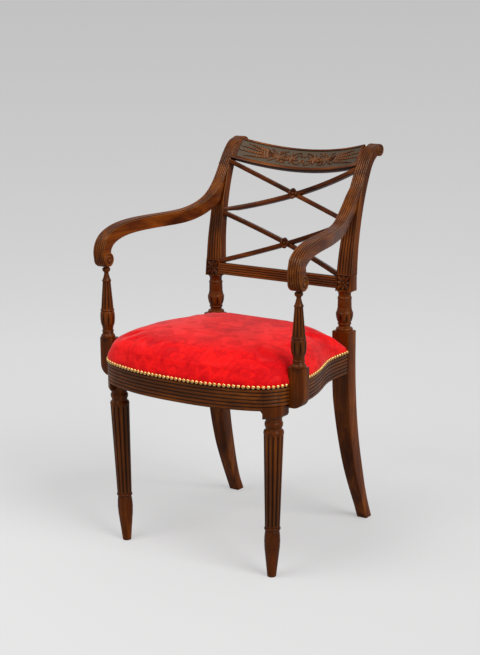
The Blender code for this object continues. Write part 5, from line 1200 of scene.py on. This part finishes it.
def damask():
    """Red silk damask: large flowers of satin, edged by thin darker lines, on a duller ground.

    Figure: noise that repeats on a drop of its own, the same to both sides of a line. It follows the cloth
    over the sides of the seat, because its place is moved outwards by the drop from the crown.
    """
    material, start = new_finish("red_damask")
    point = start.place()
    x, y, z = (start.node("SeparateXYZ", {}, {"Vector": point}, output=way) for way in (0, 1, 2))
    drop = start.sum("MAXIMUM", CROWN_Z - z, 0.0)
    spread = drop / start.sum("MAXIMUM", (x * x + y * y) ** 0.5, 0.03) + 1.0
    across, along = x * spread, y * spread
    fold = start.sum("PINGPONG", across + 10 * REPEAT_WIDE, REPEAT_WIDE / 2)
    climb = start.sum("MODULO", along + 10 * REPEAT_TALL + 0.04, REPEAT_TALL)
    mirrored = start.node("CombineXYZ", {}, {"X": fold, "Y": climb, "Z": 0.0})
    swirl = start.noise(mirrored, 21.0, detail=1.0, roughness=0.4, distortion=1.1)
    spray = start.noise(mirrored, 62.0, detail=1.0, roughness=0.4, distortion=1.4)
    petal = swirl.step(0.47, 0.52)
    line = start.sum("SINE", swirl * (math.tau * PETAL_LINES)).step(-1.0, -0.50)
    vein = start.sum("SINE", spray * (math.tau * VEIN_LINES)).step(-1.0, -0.30)
    cloud = start.noise(point, 13.0, detail=2.0, roughness=0.5).step(0.30, 0.70)
    slub = start.noise(start.place((1.0, 0.15, 1.0)), 750.0, detail=2.0)
    threads = start.sum("SINE", across * WARP_THREADS) + start.sum("SINE", along * WEFT_THREADS)
    tone = petal * 0.20 + line * 0.20 + vein * 0.12 + cloud * 0.34 + slub * 0.12 + threads * 0.02
    height = petal * 0.5 + vein * 0.3 + threads * 0.1 + slub * 0.3
    return coat(material, start, {"Base Color": tone.step(0.12, 0.92).blend(RED_DEEP, RED_BRIGHT),
                                  "Roughness": 0.60 - petal * 0.12, "Specular IOR Level": 0.08,
                                  "Sheen Weight": 0.52, "Sheen Roughness": 0.32, "Sheen Tint": RED_PALE,
                                  "Normal": start.bumped(height, 0.30, 0.0005)})


def seat_shape():
    """Rings of the plan from the underside up over the sides, the roll and the crown to the middle, which
    falls to the rear and its corners. Also the outline of the frame under it.
    """
    right = plan_stations(0.0, PLAN_RUN[-1], 150)[0]
    back = np.stack([np.linspace(right[-1, 0] - 0.004, 0.0, 44), np.full(44, REAR_RAIL_BACK)], axis=-1)
    half = np.concatenate([right, back])
    middle = np.array((0.0, SEAT_MIDDLE_Y))
    outline = np.concatenate([half, half[-2:0:-1] * (-1, 1)]) - middle
    turn = np.radians(np.linspace(10, 90, 12))
    roll = SEAT_ROLL / WIDE_X
    inner = np.linspace(0.95, 0.02, 16)
    scale = np.concatenate([(0.02, 0.3, 0.6, 0.9, 1.0, 1.0, 1.0, 1.0), 1 - roll * (1 - np.cos(turn)),
                            (1 - roll) * inner])
    roll_high = SEAT_ROLL_SHARE * SEAT_CROWN
    high = np.concatenate([np.full(5, 0.0006), SEAT_SIDE * np.array((0.3, 0.7, 1.0)),
                           SEAT_SIDE + (roll_high - SEAT_SIDE) * np.sin(turn),
                           roll_high + (SEAT_CROWN - roll_high) * (1 - inner ** SEAT_FULLNESS)])
    x, y = (middle + scale[:, None, None] * outline).transpose(2, 0, 1)
    corner_fall = 0.60 * smooth(0.095, 0.135, y) * smooth(0.115, 0.19, np.abs(x))
    fall = (1 - corner_fall) * (1 - 0.45 * smooth(0.062, 0.181, y))
    return grid_of(x, y, REEDS_TOP + high[:, None] * fall), middle + (1 - SEAT_TUCK) * outline


def applied(piece):
    """Gives a piece the mesh that its modifiers make, and takes them off it."""
    shaped = bpy.data.meshes.new_from_object(piece.evaluated_get(bpy.context.evaluated_depsgraph_get()))
    piece.modifiers.clear()
    piece.data = shaped


def cut_away(piece, outlines, low, high):
    """Takes upright prisms out of a piece, each over its outline from one height to another."""
    heights = np.array((low, high))[:, None]
    prisms = [patch(grid_of(outline[:, 0], outline[:, 1], heights)) for outline in outlines]
    room = placed("room", mesh_of("room", prisms))
    cut = piece.modifiers.new("room", "BOOLEAN")
    cut.operation, cut.object, cut.solver = "DIFFERENCE", room, "EXACT"
    applied(piece)
    bpy.data.objects.remove(room)


def rows_of(piece, what):
    """The places or the normals of a mesh's points, as rows."""
    spots = np.empty(3 * len(piece.data.vertices))
    piece.data.vertices.foreach_get(what, spots)
    return spots.reshape(-1, 3)


def stuff(seat):
    """Fills the cover by a short cloth simulation: pressed out from inside, held along its nailed edge, each
    point kept within a cap of where it began.
    """
    remesh = seat.modifiers.new("even_mesh", "REMESH")
    remesh.mode, remesh.voxel_size = "VOXEL", SEAT_VOXEL
    applied(seat)
    start = rows_of(seat, "co")
    cap = SEAT_CAP * smooth(SEAT_FREE_FROM, SEAT_FREE_TO, start[:, 2:])
    start -= SEAT_START_IN * cap * rows_of(seat, "normal")
    seat.data.vertices.foreach_set("co", start.reshape(-1))
    held = seat.vertex_groups.new(name="held")
    held.add(np.flatnonzero(start[:, 2] < SEAT_HELD).tolist(), 1.0, "REPLACE")
    cloth = seat.modifiers.new("cover", "CLOTH")
    cloth.settings.use_pressure, cloth.settings.uniform_pressure_force = True, SEAT_PRESSURE
    cloth.settings.effector_weights.gravity = 0.0
    cloth.settings.vertex_group_mass = "held"
    for moment in range(1, SEAT_FRAMES + 1):
        bpy.context.scene.frame_set(moment)
    applied(seat)
    bpy.context.scene.frame_set(1)
    moved = rows_of(seat, "co") - start
    far = np.linalg.norm(moved, axis=1)[:, None]
    capped = start + moved * np.minimum(1.0, cap / np.maximum(far, 1e-9))
    seat.data.vertices.foreach_set("co", capped.reshape(-1))
    finer = seat.modifiers.new("finer", "SUBSURF")
    finer.levels = finer.render_levels = 1
    applied(seat)


def rooms_for_frame():
    """The outlines of the posts and blocks beside the seat, with a little room round them."""
    rooms = []
    half = BLOCK_DEEP / 2
    for inner_x, front, rear in ((POST_OUT_X - POST_WIDE, POST_FRONT, 0.25),
                                 (BLOCK_IN_X, BLOCK_Y - half, BLOCK_Y + half + SEAT_ROOM)):
        near, far, front = inner_x - SEAT_ROOM, inner_x + 0.10, front - SEAT_ROOM
        room = np.array(((near, front), (far, front), (far, rear), (near, rear)))
        rooms += [room, room * (-1, 1)]
    return rooms


rings, frame_outline = seat_shape()
seat = make_piece("seat_cushion", [patch(rings)], damask(), "stuffed_seat", crease=SEAT_CREASE)
stuff(seat)
cut_away(seat, [frame_outline], RAIL_BOTTOM, UNDER_SEAT)
cut_away(seat, rooms_for_frame(), RAIL_BOTTOM, OVER_SEAT)
seat.data.shade_smooth()
seat.data.set_sharp_from_angle(angle=math.radians(SEAT_CREASE))

# Brass nails, domed heads set edge to edge along the foot of the cover, over the rail's reeds. They
# run round the front from post to post and stop at the support blocks.
NAIL_R, NAIL_HIGH, NAIL_PITCH, NAIL_CLEAR, NAIL_PROUD = 0.0039, 0.0024, 0.0100, 0.0003, 0.0002
NAIL_Z = REEDS_TOP + 0.0044


def brass():
    """Old lacquered brass, browner in places."""
    material, start = new_finish("nail_brass")
    aged = start.noise(start.place(), 260.0, detail=3.0).step(0.35, 0.75)
    metal = aged.blend((1.0, 0.62, 0.22), (0.68, 0.36, 0.10))
    return coat(material, start, {"Base Color": metal, "Metallic": 1.0, "Roughness": aged * 0.18 + 0.24})


def nail_row(spots, facing):
    """Domed heads: a quarter circle turned about each nail's outward direction, with a hidden back."""
    turn, around = np.linspace(0, math.pi / 2, 6), once_round(14)
    reach = np.append(NAIL_R * 0.6, NAIL_R * np.cos(turn))[:, None]
    rise = np.append(-0.0003, NAIL_HIGH * np.sin(turn))[:, None]
    aside, up = reach * np.cos(around), reach * np.sin(around)
    return [patch(grid_of(x - aside * out_y + rise * out_x, y + aside * out_x + rise * out_y, NAIL_Z + up))
            for (x, y), (out_x, out_y) in zip(spots, facing)]


def nail_spots():
    """Places along the plan a nail apart, from the middle of the front to each post, but for the blocks."""
    count = int((plan_run(y=POST_FRONT) - 0.003) / NAIL_PITCH)
    spots, outward = plan_stations(0.0, count * NAIL_PITCH, count + 1)
    clear = (np.abs(spots[:, 1] - BLOCK_Y) > BLOCK_DEEP / 2 + NAIL_R + NAIL_CLEAR) | (spots[:, 0] < CORNER_X)
    spots, outward = spots[clear] + outward[clear] * NAIL_PROUD, outward[clear]
    mirror = np.array((-1.0, 1.0))
    return np.concatenate([spots, spots[1:] * mirror]), np.concatenate([outward, outward[1:] * mirror])


make_piece("brass_nails", nail_row(*nail_spots()), brass(), crease=60.0)
